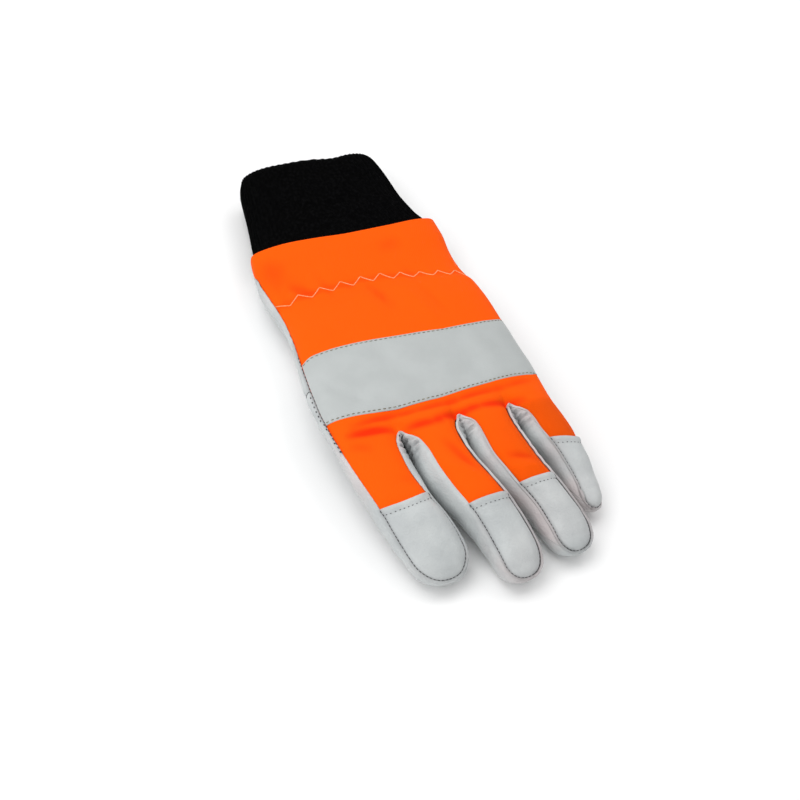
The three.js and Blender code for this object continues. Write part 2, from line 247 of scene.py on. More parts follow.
# y, left, right, floor, side left, side right, top left, top right
HAND = Stations([
    (80.5, -43.8, 60.8, -0.5, 19.0, 13.0, 26.6, 26.2),
    (70, -46.2, 60.0, -0.5, 18.0, 13.0, 26.8, 26.5),
    (58, -48.2, 58.0, -0.5, 16.5, 13.0, 26.3, 25.8),
    (44, -47.5, 57.0, 1.5, 17.0, 14.5, 26.0, 25.0),
    (32, -47.6, 58.6, 5.0, 18.5, 16.0, 29.2, 27.2),
    (18, -49.6, 59.0, 10.5, 20.5, 17.0, 31.6, 28.5),
    (2, -53.4, 58.4, 14.2, 21.5, 17.0, 32.6, 28.4),
    (-18, -57.4, 57.6, 15.0, 22.2, 17.0, 32.6, 28.0),
    (-34, -58.3, 57.4, 15.0, 22.6, 17.0, 32.4, 27.4),
    (-43, -58.1, 57.2, 14.4, 22.7, 16.6, 31.0, 26.5),
    (-50, -57.9, 57.2, 13.8, 22.7, 16.2, 30.2, 26.0),
    (-57, -57.4, 57.0, 13.8, 22.4, 15.8, 28.6, 24.4),
])

CUFF = Stations([
    (70.5, -43.2, 57.6, 1.4, 17.0, 12.5, 24.9, 24.6),
    (80.5, -41.6, 58.4, 1.4, 17.5, 12.5, 24.7, 24.3),
    (92, -39.4, 55.6, -0.4, 15.0, 12.0, 24.8, 24.4),
    (106, -35.6, 53.8, -0.5, 13.4, 12.0, 24.8, 24.4),
    (124, -31.0, 53.2, -0.5, 13.0, 12.3, 24.9, 24.6),
    (RIM_Y, -28.0, 51.8, -0.5, 13.0, 12.4, 25.0, 24.4),
])

THUMB_ROWS = Stations([
    (42, -42.0, -14.0, 12.0, 17.0, 17.0, 23.0, 23.0),
    (26, -43.0, -13.5, 2.0, 11.0, 11.0, 19.0, 19.0),
    (12, -43.5, -12.5, -0.3, 7.5, 7.5, 15.0, 15.0),
    (-4, -42.5, -11.5, -0.5, 6.6, 6.6, 13.6, 13.6),
    (-24, -40.0, -10.0, -0.5, 6.4, 6.4, 13.2, 13.2),
    (-44, -36.5, -8.5, -0.5, 6.0, 6.0, 12.2, 12.2),
])

# y, x: left seam of the woven back
BACK_EDGE = Stations([
    (-51, -56.7), (-36, -57.0), (-17, -55.5), (3, -52.3), (20, -48.9), (33, -47.0), (44, -46.4),
    (52, -46.8), (60, -47.2), (68, -46.0), (80.5, -43.8),
])

# across from -1 to 1, how far the hem waves past its plain line
HEM_LINE = Stations([
    (-1.0, 2.1), (-0.7, 1.2), (-0.35, -1.0), (0.0, -3.0), (0.4, -3.2), (0.75, -1.4), (1.0, 1.2),
])

# x, y of the band's upper edge, y of its lower edge
BAND_EDGES = Stations([
    (-60, 1.5, -34.6), (-48, 4.7, -36.5), (-36, 4.4, -38.8), (-22, 3.2, -40.3), (-2, 1.1, -40.2),
    (20, -0.8, -39.2), (42, 0.2, -37.7), (64, 3.4, -36.6),
])


def hem_wave(row: Section, x: float) -> float:
    """How far the hem waves past its plain line at a place of a section, which fades with y."""
    across = (x - row.middle) / row.half
    return HEM_LINE.values(across)[0] * smooth((row.y - HEM_WAVE_Y) / HEM_WAVE_RUN)


@dataclass(frozen=True)
class Finger:
    """A finger as a tube with a domed end. Its seams run along it at given latitudes.

    A latitude is the angle over the widest line; the walk is the way round the finger in plan,
    from its left root past the tip to its right root.
    """

    name: str
    tip: float
    cap_line: float
    arch: float
    rows: Stations
    seams: Stations
    tip_latitude: float = math.radians(2)
    tuck: float = 1.7
    palm_latitude: float = math.radians(-42)
    dome_sweep: float = 1.5

    @property
    def dome_y(self) -> float:
        """Where the round end starts."""
        return self.tip + TIP_ROUND

    @property
    def straight(self) -> float:
        """Length of each side from the crotch to the round end."""
        return CROTCH_Y - self.dome_y

    @property
    def bend(self) -> float:
        """Length of the walk round the tip."""
        return math.pi * TIP_ROUND * TIP_WALK

    @property
    def length(self) -> float:
        """Length of the whole walk."""
        return 2 * self.straight + self.bend

    @property
    def cap_share(self) -> float:
        """The share of the walk at which the cap's edge is reached."""
        return (CROTCH_Y - self.cap_line) / self.length

    def latitude(self, y: float, side: Side) -> float:
        """The latitude of the back's seam on one side.

        Args:
            y: The station.
            side: The side of the finger.

        Returns:
            Radians over the widest line.
        """
        row = self.rows.section(y)
        x = self.seams.values(y)[0 if side is Side.LEFT else 1]
        share = min(abs(x - row.middle) / row.half, 1.0)
        return math.acos(share ** (FINGER_SQUARENESS / 2))

    def seam(self, walk: float) -> float:
        """The latitude of the back's seam along the walk.

        Args:
            walk: Millimetres along the walk.

        Returns:
            Radians over the widest line.
        """
        if walk <= self.straight:
            return self.latitude(CROTCH_Y - walk, Side.LEFT)
        if walk >= self.straight + self.bend:
            return self.latitude(self.dome_y + walk - self.straight - self.bend, Side.RIGHT)
        return self.dome_seam((walk - self.straight) / self.bend * math.pi)

    def dome_seam(self, angle: float) -> float:
        """The latitude of the seam round the tip.

        Args:
            angle: From 0 on the left to pi on the right.

        Returns:
            Radians over the widest line.
        """
        side = Side.LEFT if angle < math.pi / 2 else Side.RIGHT
        share = abs(math.cos(angle)) ** self.dome_sweep
        return lerp(self.tip_latitude, self.latitude(self.dome_y, side), share)

    def wall(self, walk: float, latitude: float) -> Vector:
        """A point of the finger's side.

        Args:
            walk: Millimetres along the walk.
            latitude: Radians over the widest line.

        Returns:
            The point in millimetres.
        """
        power = 2 / FINGER_SQUARENESS
        rise = signed_power(math.sin(latitude), power)
        out = max(math.cos(latitude), 0.0) ** power
        if walk <= self.straight:
            return self.rows.section(CROTCH_Y - walk).at(-out, rise)
        if walk >= self.straight + self.bend:
            y = self.dome_y + walk - self.straight - self.bend
            return self.rows.section(y).at(out, rise)
        angle = (walk - self.straight) / self.bend * math.pi
        across = -signed_power(math.cos(angle), power)
        ahead = max(math.sin(angle), 0.0) ** power
        ahead *= out if latitude > 0 else max(math.cos(latitude), 0.0) ** self.tuck
        return self.rows.section(self.dome_y - TIP_ROUND * ahead).at(across * out, rise)

    def over(self, y: float, share: float) -> Vector:
        """A point of the finger's back between its two seams, share 0 on the left."""
        left, right = math.pi - self.latitude(y, Side.LEFT), self.latitude(y, Side.RIGHT)
        return self.rows.section(y).point(lerp(left, right, share), FINGER_SQUARENESS)

    def cap(self, share: float, ahead: float) -> Vector:
        """A point of the domed end inside its seam.

        Args:
            share: From the left seam to the right seam.
            ahead: From 0 where the dome starts to 1 at the seam round the tip.

        Returns:
            The point in millimetres.
        """
        power = 2 / FINGER_SQUARENESS
        start = self.rows.section(self.dome_y)
        here = (self.over(self.dome_y, share).x - start.middle) / start.half
        side = Side.LEFT if here < 0 else Side.RIGHT
        edge = math.cos(self.latitude(self.dome_y, side)) ** power
        sx = here / edge
        x, y = sx * math.sqrt(1 - ahead**2 / 2), ahead * math.sqrt(1 - sx**2 / 2)
        angle = math.atan2(y, -x)
        reach = min(math.hypot(x, y), 1.0) * math.cos(self.dome_seam(angle)) ** power
        across = -signed_power(math.cos(angle), power) * reach
        forward = abs(math.sin(angle)) ** power * reach
        left = 1 - abs(across) ** FINGER_SQUARENESS - forward**FINGER_SQUARENESS
        section = self.rows.section(self.dome_y - TIP_ROUND * forward)
        return section.at(across, max(left, 0.0) ** (1 / FINGER_SQUARENESS))

    def core(self, point: Vector) -> Vector:
        """A point inside the finger beside a point of its surface."""
        return self.rows.section(max(point.y, self.dome_y)).core


# y, left, right, floor, side left, side right, top left, top right; then y, left seam, right seam
INDEX = Finger("index", -122.9, -85.4, 2.2, Stations([
    (-34, -57.6, -27.5, 16.0, 23.0, 23.0, 29.0, 30.7),
    (-52, -57.6, -27.3, 13.0, 22.8, 23.3, 29.0, 30.7),
    (-60, -57.3, -27.4, 11.8, 22.3, 21.0, 28.6, 30.1),
    (-70, -56.4, -27.5, 10.0, 21.2, 19.2, 27.8, 29.3),
    (-86, -54.6, -26.6, 6.0, 19.2, 17.5, 25.8, 28.0),
    (-96, -52.8, -23.9, 4.0, 16.8, 15.5, 23.5, 26.0),
    (-106, -50.2, -21.6, 2.0, 12.8, 12.5, 19.5, 21.8),
    (-114, -48.0, -21.0, 0.8, 9.5, 10.5, 16.0, 17.5),
    (-120, -46.2, -21.8, -0.3, 8.5, 9.0, 13.5, 14.5),
]), Stations([
    (-34, -56.8, -28.6), (-49, -56.7, -28.4), (-52.2, -56.7, -28.9), (-54.5, -56.6, -30.4),
    (-57, -56.4, -31.4), (-61, -56.1, -32.0), (-70, -55.1, -32.4), (-86, -53.1, -29.6),
    (-96, -51.8, -25.4), (-106, -49.5, -23.1), (-114, -47.3, -22.6), (-120, -45.6, -23.6),
]), math.radians(10))
MIDDLE = Finger("middle", -134.2, -97.6, 0.9, Stations([
    (-34, -27.0, 4.5, 16.0, 24.6, 23.6, 30.8, 30.2),
    (-52, -25.9, 3.6, 13.5, 24.6, 23.6, 31.0, 30.5),
    (-58, -24.9, 2.4, 12.4, 22.6, 21.8, 30.6, 30.2),
    (-64, -24.6, 1.8, 11.5, 21.1, 20.7, 30.4, 30.2),
    (-74, -24.8, 2.4, 10.0, 20.0, 19.5, 30.0, 30.0),
    (-86, -22.2, 5.2, 8.0, 18.5, 18.0, 29.2, 29.2),
    (-98, -17.8, 7.8, 5.5, 16.5, 16.0, 27.6, 27.4),
    (-110, -14.2, 10.1, 2.5, 13.0, 13.0, 23.5, 23.2),
    (-121, -12.0, 10.9, 0.5, 10.5, 11.0, 19.0, 19.2),
    (-130, -11.6, 10.8, -0.5, 9.0, 9.5, 15.5, 15.5),
]), Stations([
    (-34, -25.2, 2.6), (-49, -25.2, 2.6), (-52.5, -24.9, 2.2), (-55, -22.9, 0.2),
    (-58, -20.8, -1.1), (-61, -20.0, -1.5), (-66, -19.3, -1.7), (-74, -19.2, -1.0),
    (-86, -17.6, 2.0), (-98, -14.4, 4.9), (-110, -11.6, 7.6), (-121, -10.0, 9.0),
    (-130, -9.0, 9.3),
]))
RING = Finger("ring", -129.3, -93.6, 1.1, Stations([
    (-34, 3.5, 32.0, 16.0, 23.8, 21.6, 30.3, 28.0),
    (-52, 4.3, 31.0, 13.0, 23.8, 21.4, 30.4, 28.4),
    (-58, 5.0, 31.0, 12.3, 21.4, 19.2, 30.0, 28.0),
    (-64, 5.3, 31.2, 11.5, 19.7, 17.8, 29.7, 27.7),
    (-74, 5.6, 32.0, 9.8, 18.5, 17.0, 29.2, 27.0),
    (-85, 8.3, 33.6, 7.5, 17.0, 15.5, 27.8, 25.2),
    (-94, 12.3, 35.4, 5.3, 15.5, 14.5, 25.9, 24.0),
    (-105, 16.2, 38.4, 2.8, 12.5, 12.0, 22.2, 20.6),
    (-114, 17.6, 40.2, 0.8, 10.0, 10.0, 18.6, 17.6),
    (-124, 18.6, 40.6, -0.5, 8.5, 8.5, 15.0, 14.6),
]), Stations([
    (-34, 5.8, 30.4), (-49, 5.8, 30.4), (-52.5, 6.2, 30.0), (-55, 8.2, 28.8), (-58, 9.7, 28.2),
    (-62, 10.1, 28.0), (-74, 9.8, 29.0), (-85, 12.0, 30.6), (-94, 14.8, 32.7), (-105, 18.6, 36.0),
    (-114, 20.3, 38.5), (-124, 21.4, 39.3),
]))
LITTLE = Finger("little", -110.8, -74.0, 2.6, Stations([
    (-34, 31.0, 57.0, 16.0, 22.0, 17.0, 27.8, 23.2),
    (-52, 32.7, 57.2, 12.3, 21.8, 14.5, 27.8, 22.6),
    (-57, 34.3, 57.7, 11.4, 19.4, 14.0, 27.0, 22.2),
    (-62, 35.3, 58.2, 10.3, 17.2, 13.6, 26.2, 21.7),
    (-68, 36.2, 58.7, 8.8, 16.0, 13.0, 25.2, 20.8),
    (-76, 39.0, 59.0, 6.5, 14.5, 11.8, 23.0, 19.0),
    (-86, 41.6, 58.8, 4.0, 12.0, 10.5, 19.3, 16.8),
    (-95, 42.4, 57.6, 1.8, 10.0, 9.5, 16.0, 15.0),
    (-103, 42.8, 56.4, -0.2, 8.5, 8.5, 13.6, 13.4),
]), Stations([
    (-34, 33.4, 64.0), (-49, 33.4, 64.0), (-52.5, 33.9, 64.0), (-55, 36.4, 64.0),
    (-58, 38.8, 64.0), (-62, 39.9, 64.0), (-68, 40.6, 64.0), (-76, 43.0, 64.0), (-86, 45.0, 64.0),
    (-95, 45.8, 64.0), (-103, 46.0, 64.0),
]))
FINGERS = (INDEX, MIDDLE, RING, LITTLE)


# Surfaces of the hand


@dataclass(frozen=True)
class Fold:
    """A soft crease between two points in plan, in millimetres. A negative depth is a ridge."""

    x0: float
    y0: float
    x1: float
    y1: float
    depth: float
    width: float
    taper: float = 0.7

    def at(self, point: Vector) -> float:
        """How deep the crease is at a place.

        Args:
            point: The place; its height doesn't count.

        Returns:
            Millimetres, nothing past the crease's ends.
        """
        start, end = Vector((self.x0, self.y0)), Vector((self.x1, self.y1))
        way = end - start
        share = (point.xy - start).dot(way) / way.length_squared
        if not 0 < share < 1:
            return 0.0
        off = (point.xy - start - way * share).length
        return self.depth * bell(off / self.width) * math.sin(math.pi * share) ** self.taper


class Folds:
    """The creases of one piece."""

    def __init__(self, *rows: Sequence[float]) -> None:
        """Args:
        rows: Each crease's x and y at both ends, its depth and its width.
        """
        self.folds = [Fold(*row) for row in rows]

    def depth(self, point: Vector) -> float:
        """How deep all of them are at a place."""
        return sum(fold.at(point) for fold in self.folds)


@dataclass(frozen=True)
class HandBack:
    """The back of the hand, as columns that run from the hem into the four fingers."""

    finger_columns: tuple[int, ...] = (19, 19, 17, 16)
    gap_columns: int = 4
    hand_rows: int = 96
    finger_rows: int = 28
    knuckle_start: float = -33.0
    crotch_lift: float = 0.7
    crotch_depth: float = 1.2
    wrap: float = math.radians(192)
    wrap_y: float = 58.0
    wrap_run: float = 22.0
    edge_columns: int = 6
    even_y: float = 30.0
    even_run: float = 75.0
    join_ease: float = 3.0
    halvings: int = 24

    @property
    def columns(self) -> int:
        """Columns over the whole back."""
        return sum(self.finger_columns) + self.gap_columns * (len(FINGERS) - 1)

    def lane(self, column: float) -> tuple[int, float, bool]:
        """The finger under a column.

        Args:
            column: A column number, or a place between two.

        Returns:
            The finger's number, the share over it, and whether this is the gap after it.
        """
        start = 0.0
        for i, count in enumerate(self.finger_columns):
            if column <= start + count + 1e-6 or i == len(FINGERS) - 1:
                return i, min(max((column - start) / count, 0.0), 1.0), False
            start += count
            if column < start + self.gap_columns - 1e-6:
                return i, (column - start) / self.gap_columns, True
            start += self.gap_columns
        raise ValueError(f"column {column} is off the back")

    def left_turn(self, y: float) -> float:
        """The angle of the left seam; near the hem the cloth wraps the side.

        Args:
            y: The station.

        Returns:
            Radians from the right edge, over the crown.
        """
        row = HAND.section(y)
        seam = row.turn_over(BACK_EDGE.values(y)[0], HAND_SQUARENESS)
        return lerp(seam, self.wrap, smooth((y - self.wrap_y) / self.wrap_run))

    def knuckle(self, column: float, y: float, web: float = 1.0) -> Vector:
        """Where the fingers' own backs put a column.

        Args:
            column: The column.
            y: The station.
            web: How much of the crotch's bow shows between two fingers.

        Returns:
            The point in millimetres.
        """
        i, share, gap = self.lane(column)
        if not gap:
            return FINGERS[i].over(y, share)
        a, b = FINGERS[i].over(y, 1.0), FINGERS[i + 1].over(y, 0.0)
        bow = math.sin(math.pi * share) * web
        point = a.lerp(b, share)
        return point + Vector((0, self.crotch_depth * bow, self.crotch_lift * bow))

    def point(self, column: float, y: float) -> Vector:
        """A point of the back between the hem and the crotches, in millimetres.

        Args:
            column: The column, or a place between two.
            y: The station.

        Returns:
            The point in millimetres.
        """
        row = HAND.section(y)
        left = self.left_turn(y)
        even = lerp(left, 0.0, column / self.columns)
        edge = HAND.section(CROTCH_Y)
        anchor = edge.turn_over(self.knuckle(column, CROTCH_Y).x, HAND_SQUARENESS)
        if column < self.edge_columns:
            anchor = lerp(left, anchor, smooth(column / self.edge_columns))
        turn = lerp(even, anchor, smooth((self.even_y - y) / self.even_run))
        on_hand = row.point(turn, HAND_SQUARENESS)
        on_hand.y += hem_wave(row, on_hand.x)
        share = smooth((self.knuckle_start - y) / (self.knuckle_start - CROTCH_Y))
        _, over, gap = self.lane(column)
        ease = self.join_ease if gap else 1 + (self.join_ease - 1) * abs(2 * over - 1) ** 3
        return on_hand.lerp(self.knuckle(column, y, share**4), share**ease)

    def column_over(self, x: float, y: float) -> float:
        """The column that passes over x at a station, found by halving.

        Args:
            x: The place across the glove.
            y: The station.

        Returns:
            The column, which may lie between two.
        """
        low, high = 0.0, float(self.columns)
        for _ in range(self.halvings):
            middle = (low + high) / 2
            if self.point(middle, y).x < x:
                low = middle
            else:
                high = middle
        return (low + high) / 2


BACK = HandBack()


class Seams:
    """All sewn lines as points, for the distance from anywhere to the nearest seam."""

    STEP = 0.5

    def __init__(
        self,
        lines: Sequence[Line],
        shaded: Sequence[Line] | None = None,
    ) -> None:
        """Args:
        lines: Polylines in millimetres.
        shaded: Those that get painted shade, when not all do.
        """
        self.tree = self._plant(lines)
        self.shaded = self._plant(shaded) if shaded else self.tree

    def _plant(self, lines: Sequence[Line]) -> kdtree.KDTree:
        """A tree of the lines' points.

        Args:
            lines: Polylines in millimetres.

        Returns:
            The tree.
        """
        points = [point for line in lines for point in resample(line, self.STEP)]
        tree = kdtree.KDTree(len(points))
        for i, point in enumerate(points):
            tree.insert(point, i)
        tree.balance()
        return tree

    def distance(self, point: Vector) -> float:
        """Millimetres to the nearest seam."""
        return self.tree.find(point)[2]

    def painted_shade(self, point: Vector) -> float:
        """How much painted shade the cloth gets, from 0 to 1 at a stitched edge."""
        return bell(self.shaded.find(point)[2] / SHADE_REACH)


def resample(line: Line, step: float) -> list[Vector]:
    """Points at even steps along a polyline, both ends included.

    Args:
        line: The polyline.
        step: About how far apart the points are.

    Returns:
        The points.
    """
    ways = [0.0]
    for a, b in zip(line, line[1:]):
        ways.append(ways[-1] + (b - a).length)
    count = max(int(round(ways[-1] / step)), 1)
    points, i = [], 0
    for k in range(count + 1):
        way = ways[-1] * k / count
        while i < len(line) - 2 and ways[i + 1] < way:
            i += 1
        span = max(ways[i + 1] - ways[i], 1e-9)
        points.append(line[i].lerp(line[i + 1], min((way - ways[i]) / span, 1.0)))
    return points


def back_seam(finger: Finger, start: float = 0.0, end: float = 1.0) -> list[Vector]:
    """The seam round a finger's back, between two shares of the walk."""
    length = finger.length
    return trace(lambda s: finger.wall(length * s, finger.seam(length * s)), 160, start, end)


def cap_arc(finger: Finger, forward: float = 0.0) -> list[Vector]:
    """The upper edge of a fingertip cap, or a line that runs beside it towards the tip."""
    return trace(lambda share: finger.over(cap_edge(finger, share) - forward, share), 40)


def cap_edge(finger: Finger, share: float) -> float:
    """The y of a cap's arched upper edge."""
    return finger.cap_line - CAP_LIP - finger.arch * math.sin(math.pi * share)


def left_seam(low: float = CROTCH_Y, high: float = 66.0) -> list[Vector]:
    """The seam between the woven back and the leather along the left of the hand."""
    return trace(lambda y: BACK.point(0.0, y), 120, high, low)


def web_arc(number: int) -> list[Vector]:
    """The seam round the end of the slit after a finger."""
    start = sum(BACK.finger_columns[: number + 1]) + BACK.gap_columns * number
    return trace(lambda share: BACK.point(start + BACK.gap_columns * share, CROTCH_Y), 12)


def band_line(share: float, last: float = 1.0) -> list[Vector]:
    """A line along the knuckle band, share 0 at its lower edge and 1 at its upper edge."""
    return trace(lambda way: BAND.point(way, share), 90, 0.0, last)


# Panels


@dataclass
class Panel:
    """A sewn panel: a flat grid that is bent into place and then given its relief."""

    across: int
    along: int
    place: Callable[[float, float], Vector]
    core: Callable[[Vector], Vector]
    relief: Callable[[Vector], float]
    crease: Callable[[Vector], float] = lambda point: 0.0
    keep: Callable[[int, int], bool] = lambda i, j: True

    def into(self, piece: Mesh, seams: Seams) -> None:
        """Adds the panel to a piece.

        Args:
            piece: The mesh that it joins.
            seams: All sewn lines.
        """
        bm = bmesh.new()
        near = bm.verts.layers.float.new(NEAR_LAYER)
        fold = bm.verts.layers.float.new(FOLD_LAYER)
        bmesh.ops.create_grid(bm, x_segments=self.across, y_segments=self.along, size=0.5)
        cells = {
            (round((v.co.x + 0.5) * self.across), round((v.co.y + 0.5) * self.along)): v
            for v in bm.verts
        }
        number = {v: cell for cell, v in cells.items()}
        for (i, j), v in cells.items():
            v.co = self.place(i / self.across, j / self.along)
        self._map(bm, cells, number)
        corners = {f: min(number[v] for v in f.verts) for f in bm.faces}
        drop = [f for f, cell in corners.items() if not self.keep(*cell)]
        bmesh.ops.delete(bm, geom=drop, context="FACES")
        bm.normal_update()
        out = sum(v.normal.dot(v.co - self.core(v.co)) for v in bm.verts)
        if out < 0:
            bmesh.ops.reverse_faces(bm, faces=bm.faces)
            bm.normal_update()
        for v in bm.verts:
            crease = self.crease(v.co)
            # the seams' painted shade and the creases' depth are stored for the finishes, which
            # paint them darker
            v[near] = seams.painted_shade(v.co)
            v[fold] = min(max(crease, 0.0), 1.0)
            v.co = v.co + v.normal * (self.relief(v.co) - crease)
            v.co.z = max(v.co.z, REST_Z)
        mesh = bpy.data.meshes.new("panel")
        bm.to_mesh(mesh)
        bm.free()
        piece.from_mesh(mesh)
        bpy.data.meshes.remove(mesh)

    def _map(self, bm: Mesh, cells: dict, number: dict) -> None:
        """Lays the UV map out by the lengths of the bent grid.

        Args:
            bm: The bent grid.
            cells: Its vertices by column and row.
            number: Column and row by vertex.
        """
        uv = bm.loops.layers.uv.new("UVMap")
        wide: dict[tuple[int, int], float] = {}
        deep: dict[tuple[int, int], float] = {}
        for (i, j), v in sorted(cells.items(), key=lambda item: item[0]):
            before, under = cells.get((i - 1, j)), cells.get((i, j - 1))
            wide[i, j] = wide[i - 1, j] + (v.co - before.co).length if before else 0.0
            deep[i, j] = deep[i, j - 1] + (v.co - under.co).length if under else 0.0
        for face in bm.faces:
            for loop in face.loops:
                cell = number[loop.vert]
                loop[uv].uv = (wide[cell] / UV_SPAN, deep[cell] / UV_SPAN)


@dataclass(frozen=True)
class Quilting:
    """How a panel dips at its seams and swells between them, in millimetres."""

    pinch: float = 0.4
    lip: float = 0.8
    puff: float = 0.5
    reach: float = 5.0
    roll: float = 0.0
    roll_width: float = 2.4
    ripple: float = 0.15
    ripple_size: float = 9.0
    seed: float = 0.0

    def at(self, point: Vector, seams: Seams) -> float:
        """Height over the plain surface at a point.

        Args:
            point: The place.
            seams: The lines that pinch it.

        Returns:
            Millimetres.
        """
        d = seams.distance(point)
        wave = noise.noise(point / self.ripple_size + Vector((self.seed, 0, 0)))
        swell = self.puff * smooth(d / self.reach) + self.ripple * wave * smooth(d / 3)
        swell += self.roll * smooth(d / self.lip) * bell(d / self.roll_width)
        return swell - self.pinch * bell(d / self.lip)


@dataclass(frozen=True)
class Wall:
    """The thickness of a piece and the rounding of its cut edges, in millimetres."""

    thick: float = 1.2
    round_edge: float = 0.3

    def give(self, obj: bpy.types.Object) -> None:
        """Adds the wall inwards from the outer face.

        Args:
            obj: The piece.
        """
        solid = obj.modifiers.new("wall", "SOLIDIFY")
        solid.thickness = self.thick * MM
        solid.offset = -1
        solid.use_even_offset = False
        bevel = obj.modifiers.new("edge", "BEVEL")
        bevel.width = self.round_edge * MM
        bevel.segments = 2
        bevel.profile = 0.5
        bevel.limit_method = "ANGLE"
        bevel.angle_limit = math.radians(55)
        bevel.harden_normals = True


def finish_piece(
    bm: Mesh,
    name: str,
    material: Material,
    nodes: Sequence[str] = (),
    slot: Slot | None = None,
    wall: Wall | None = None,
) -> bpy.types.Object:
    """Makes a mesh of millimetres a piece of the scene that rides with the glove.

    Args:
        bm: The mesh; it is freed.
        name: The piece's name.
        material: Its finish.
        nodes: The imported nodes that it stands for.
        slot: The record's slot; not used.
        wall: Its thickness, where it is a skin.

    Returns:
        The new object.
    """
    bmesh.ops.scale(bm, vec=(MM, MM, MM), verts=bm.verts)
    mesh = bpy.data.meshes.new(name)
    bm.to_mesh(mesh)
    bm.free()
    mesh.polygons.foreach_set("use_smooth", [True] * len(mesh.polygons))
    mesh.materials.append(material)
    obj = bpy.data.objects.new(name, mesh)
    bpy.context.scene.collection.objects.link(obj)
    if wall:
        wall.give(obj)
    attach(obj, "root")
    if nodes:
        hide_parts(*nodes)
    LOG.info("%s: %d faces", name, len(mesh.polygons))
    return obj


# Thread


class Skin:
    """The finished surface of a piece, for laying stitches on it."""

    def __init__(self, bm: Mesh) -> None:
        """Args:
        bm: The piece, in millimetres.
        """
        self.tree = BVHTree.FromBMesh(bm)

    def press(self, point: Vector) -> tuple[Vector, Vector]:
        """The nearest point of the surface and the way out of it."""
        place, normal, _, _ = self.tree.find_nearest(point)
        return place, normal


@dataclass(frozen=True)
class Stitch:
    """One kind of stitch, in millimetres."""

    length: float = 1.5
    pitch: float = 2.3
    thick: float = 0.22
    rise: float = 0.12
    waver: float = 0.12
    waver_scale: float = 1.7

    def sew(self, bm: Mesh, line: Line, skin: Skin) -> None:
        """Sews a row of stitches along a line.

        Args:
            bm: The mesh that they join.
            line: A polyline on the cloth.
            skin: The surface that they lie on.
        """
        points = resample(line, self.pitch)
        for k in range(len(points) - 1):
            a, b = points[k], points[k + 1]
            along = (b - a).normalized()
            middle, up = skin.press((a + b) / 2)
            side = along.cross(up).normalized()
            up = side.cross(along)
            shift = noise.noise(middle * self.waver_scale) * self.waver
            turn = Matrix((along, side, up)).transposed().to_4x4()
            size = Matrix.Diagonal((self.length / 2, self.thick, self.thick, 1))
            place = Matrix.Translation(middle + up * self.rise + side * shift)
            bmesh.ops.create_icosphere(bm, subdivisions=1, radius=1, matrix=place @ turn @ size)


@dataclass(frozen=True)
class Thread:
    """A round thread that lies on the cloth, in millimetres."""

    thick: float
    sides: int = 6
    lift: float = 0.4

    def sew(self, bm: Mesh, line: Line, skin: Skin) -> None:
        """Lays the thread by sweeping one ring and bridging each step.

        Args:
            bm: The mesh that it joins.
            line: A polyline on the cloth.
            skin: The surface that it lies on.
        """
        ring: list = []
        pressed = [skin.press(point) for point in line]
        way = [place + up * self.thick * self.lift for place, up in pressed]
        for k, point in enumerate(way):
            ahead = way[min(k + 1, len(way) - 1)] - way[max(k - 1, 0)]
            turn = ahead.to_track_quat("Z", "Y").to_matrix().to_4x4()
            spot = Matrix.Translation(point) @ turn
            made = bmesh.ops.create_circle(
                bm, cap_ends=False, segments=self.sides, radius=self.thick, matrix=spot
            )
            edges = list({e for v in made["verts"] for e in v.link_edges})
            if ring:
                bmesh.ops.bridge_loops(bm, edges=ring + edges)
            ring = edges


def make_skin(
    name: str,
    node: str,
    slot: Slot,
    material: Material,
    wall: Wall,
    panels: Sequence[Panel],
    seams: Seams,
    weld: bool = False,
) -> Skin:
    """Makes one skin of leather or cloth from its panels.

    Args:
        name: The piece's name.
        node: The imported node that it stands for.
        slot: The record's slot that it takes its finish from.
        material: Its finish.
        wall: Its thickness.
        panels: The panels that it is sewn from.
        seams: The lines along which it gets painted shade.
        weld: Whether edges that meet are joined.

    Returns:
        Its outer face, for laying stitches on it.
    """
    bm = bmesh.new()
    for panel in panels:
        panel.into(bm, seams)
    if weld:
        bmesh.ops.remove_doubles(bm, verts=bm.verts, dist=WELD)
    skin = Skin(bm)
    finish_piece(bm, name, material, [node], slot, wall)
    return skin


def make_thread(
    name: str,
    material: Material,
    skin: Skin,
    *rows: tuple[Stitch | Thread, Line],
) -> None:
    """Makes the stitches and threads of one skin.

    Args:
        name: The piece's name.
        material: Their finish.
        skin: The surface that they lie on.
        rows: Each row's kind and its line.
    """
    bm = bmesh.new()
    for kind, line in rows:
        kind.sew(bm, line, skin)
    finish_piece(bm, name, material)


# Finishes


def operator(operation: str, flipped: bool = False) -> Callable[..., "Wire"]:
    """A method that adds one Math node over a value and what it is joined with."""

    def apply(self: "Wire", *others: Any) -> "Wire":
        """Adds the node.

        Args:
            self: The value.
            others: What it is joined with.

        Returns:
            The node's result.
        """
        values = (*others, self) if flipped else (self, *others)
        node = self.paint.node("ShaderNodeMath", {"operation": operation}, dict(enumerate(values)))
        return Wire(self.paint, node.outputs[0])

    return apply


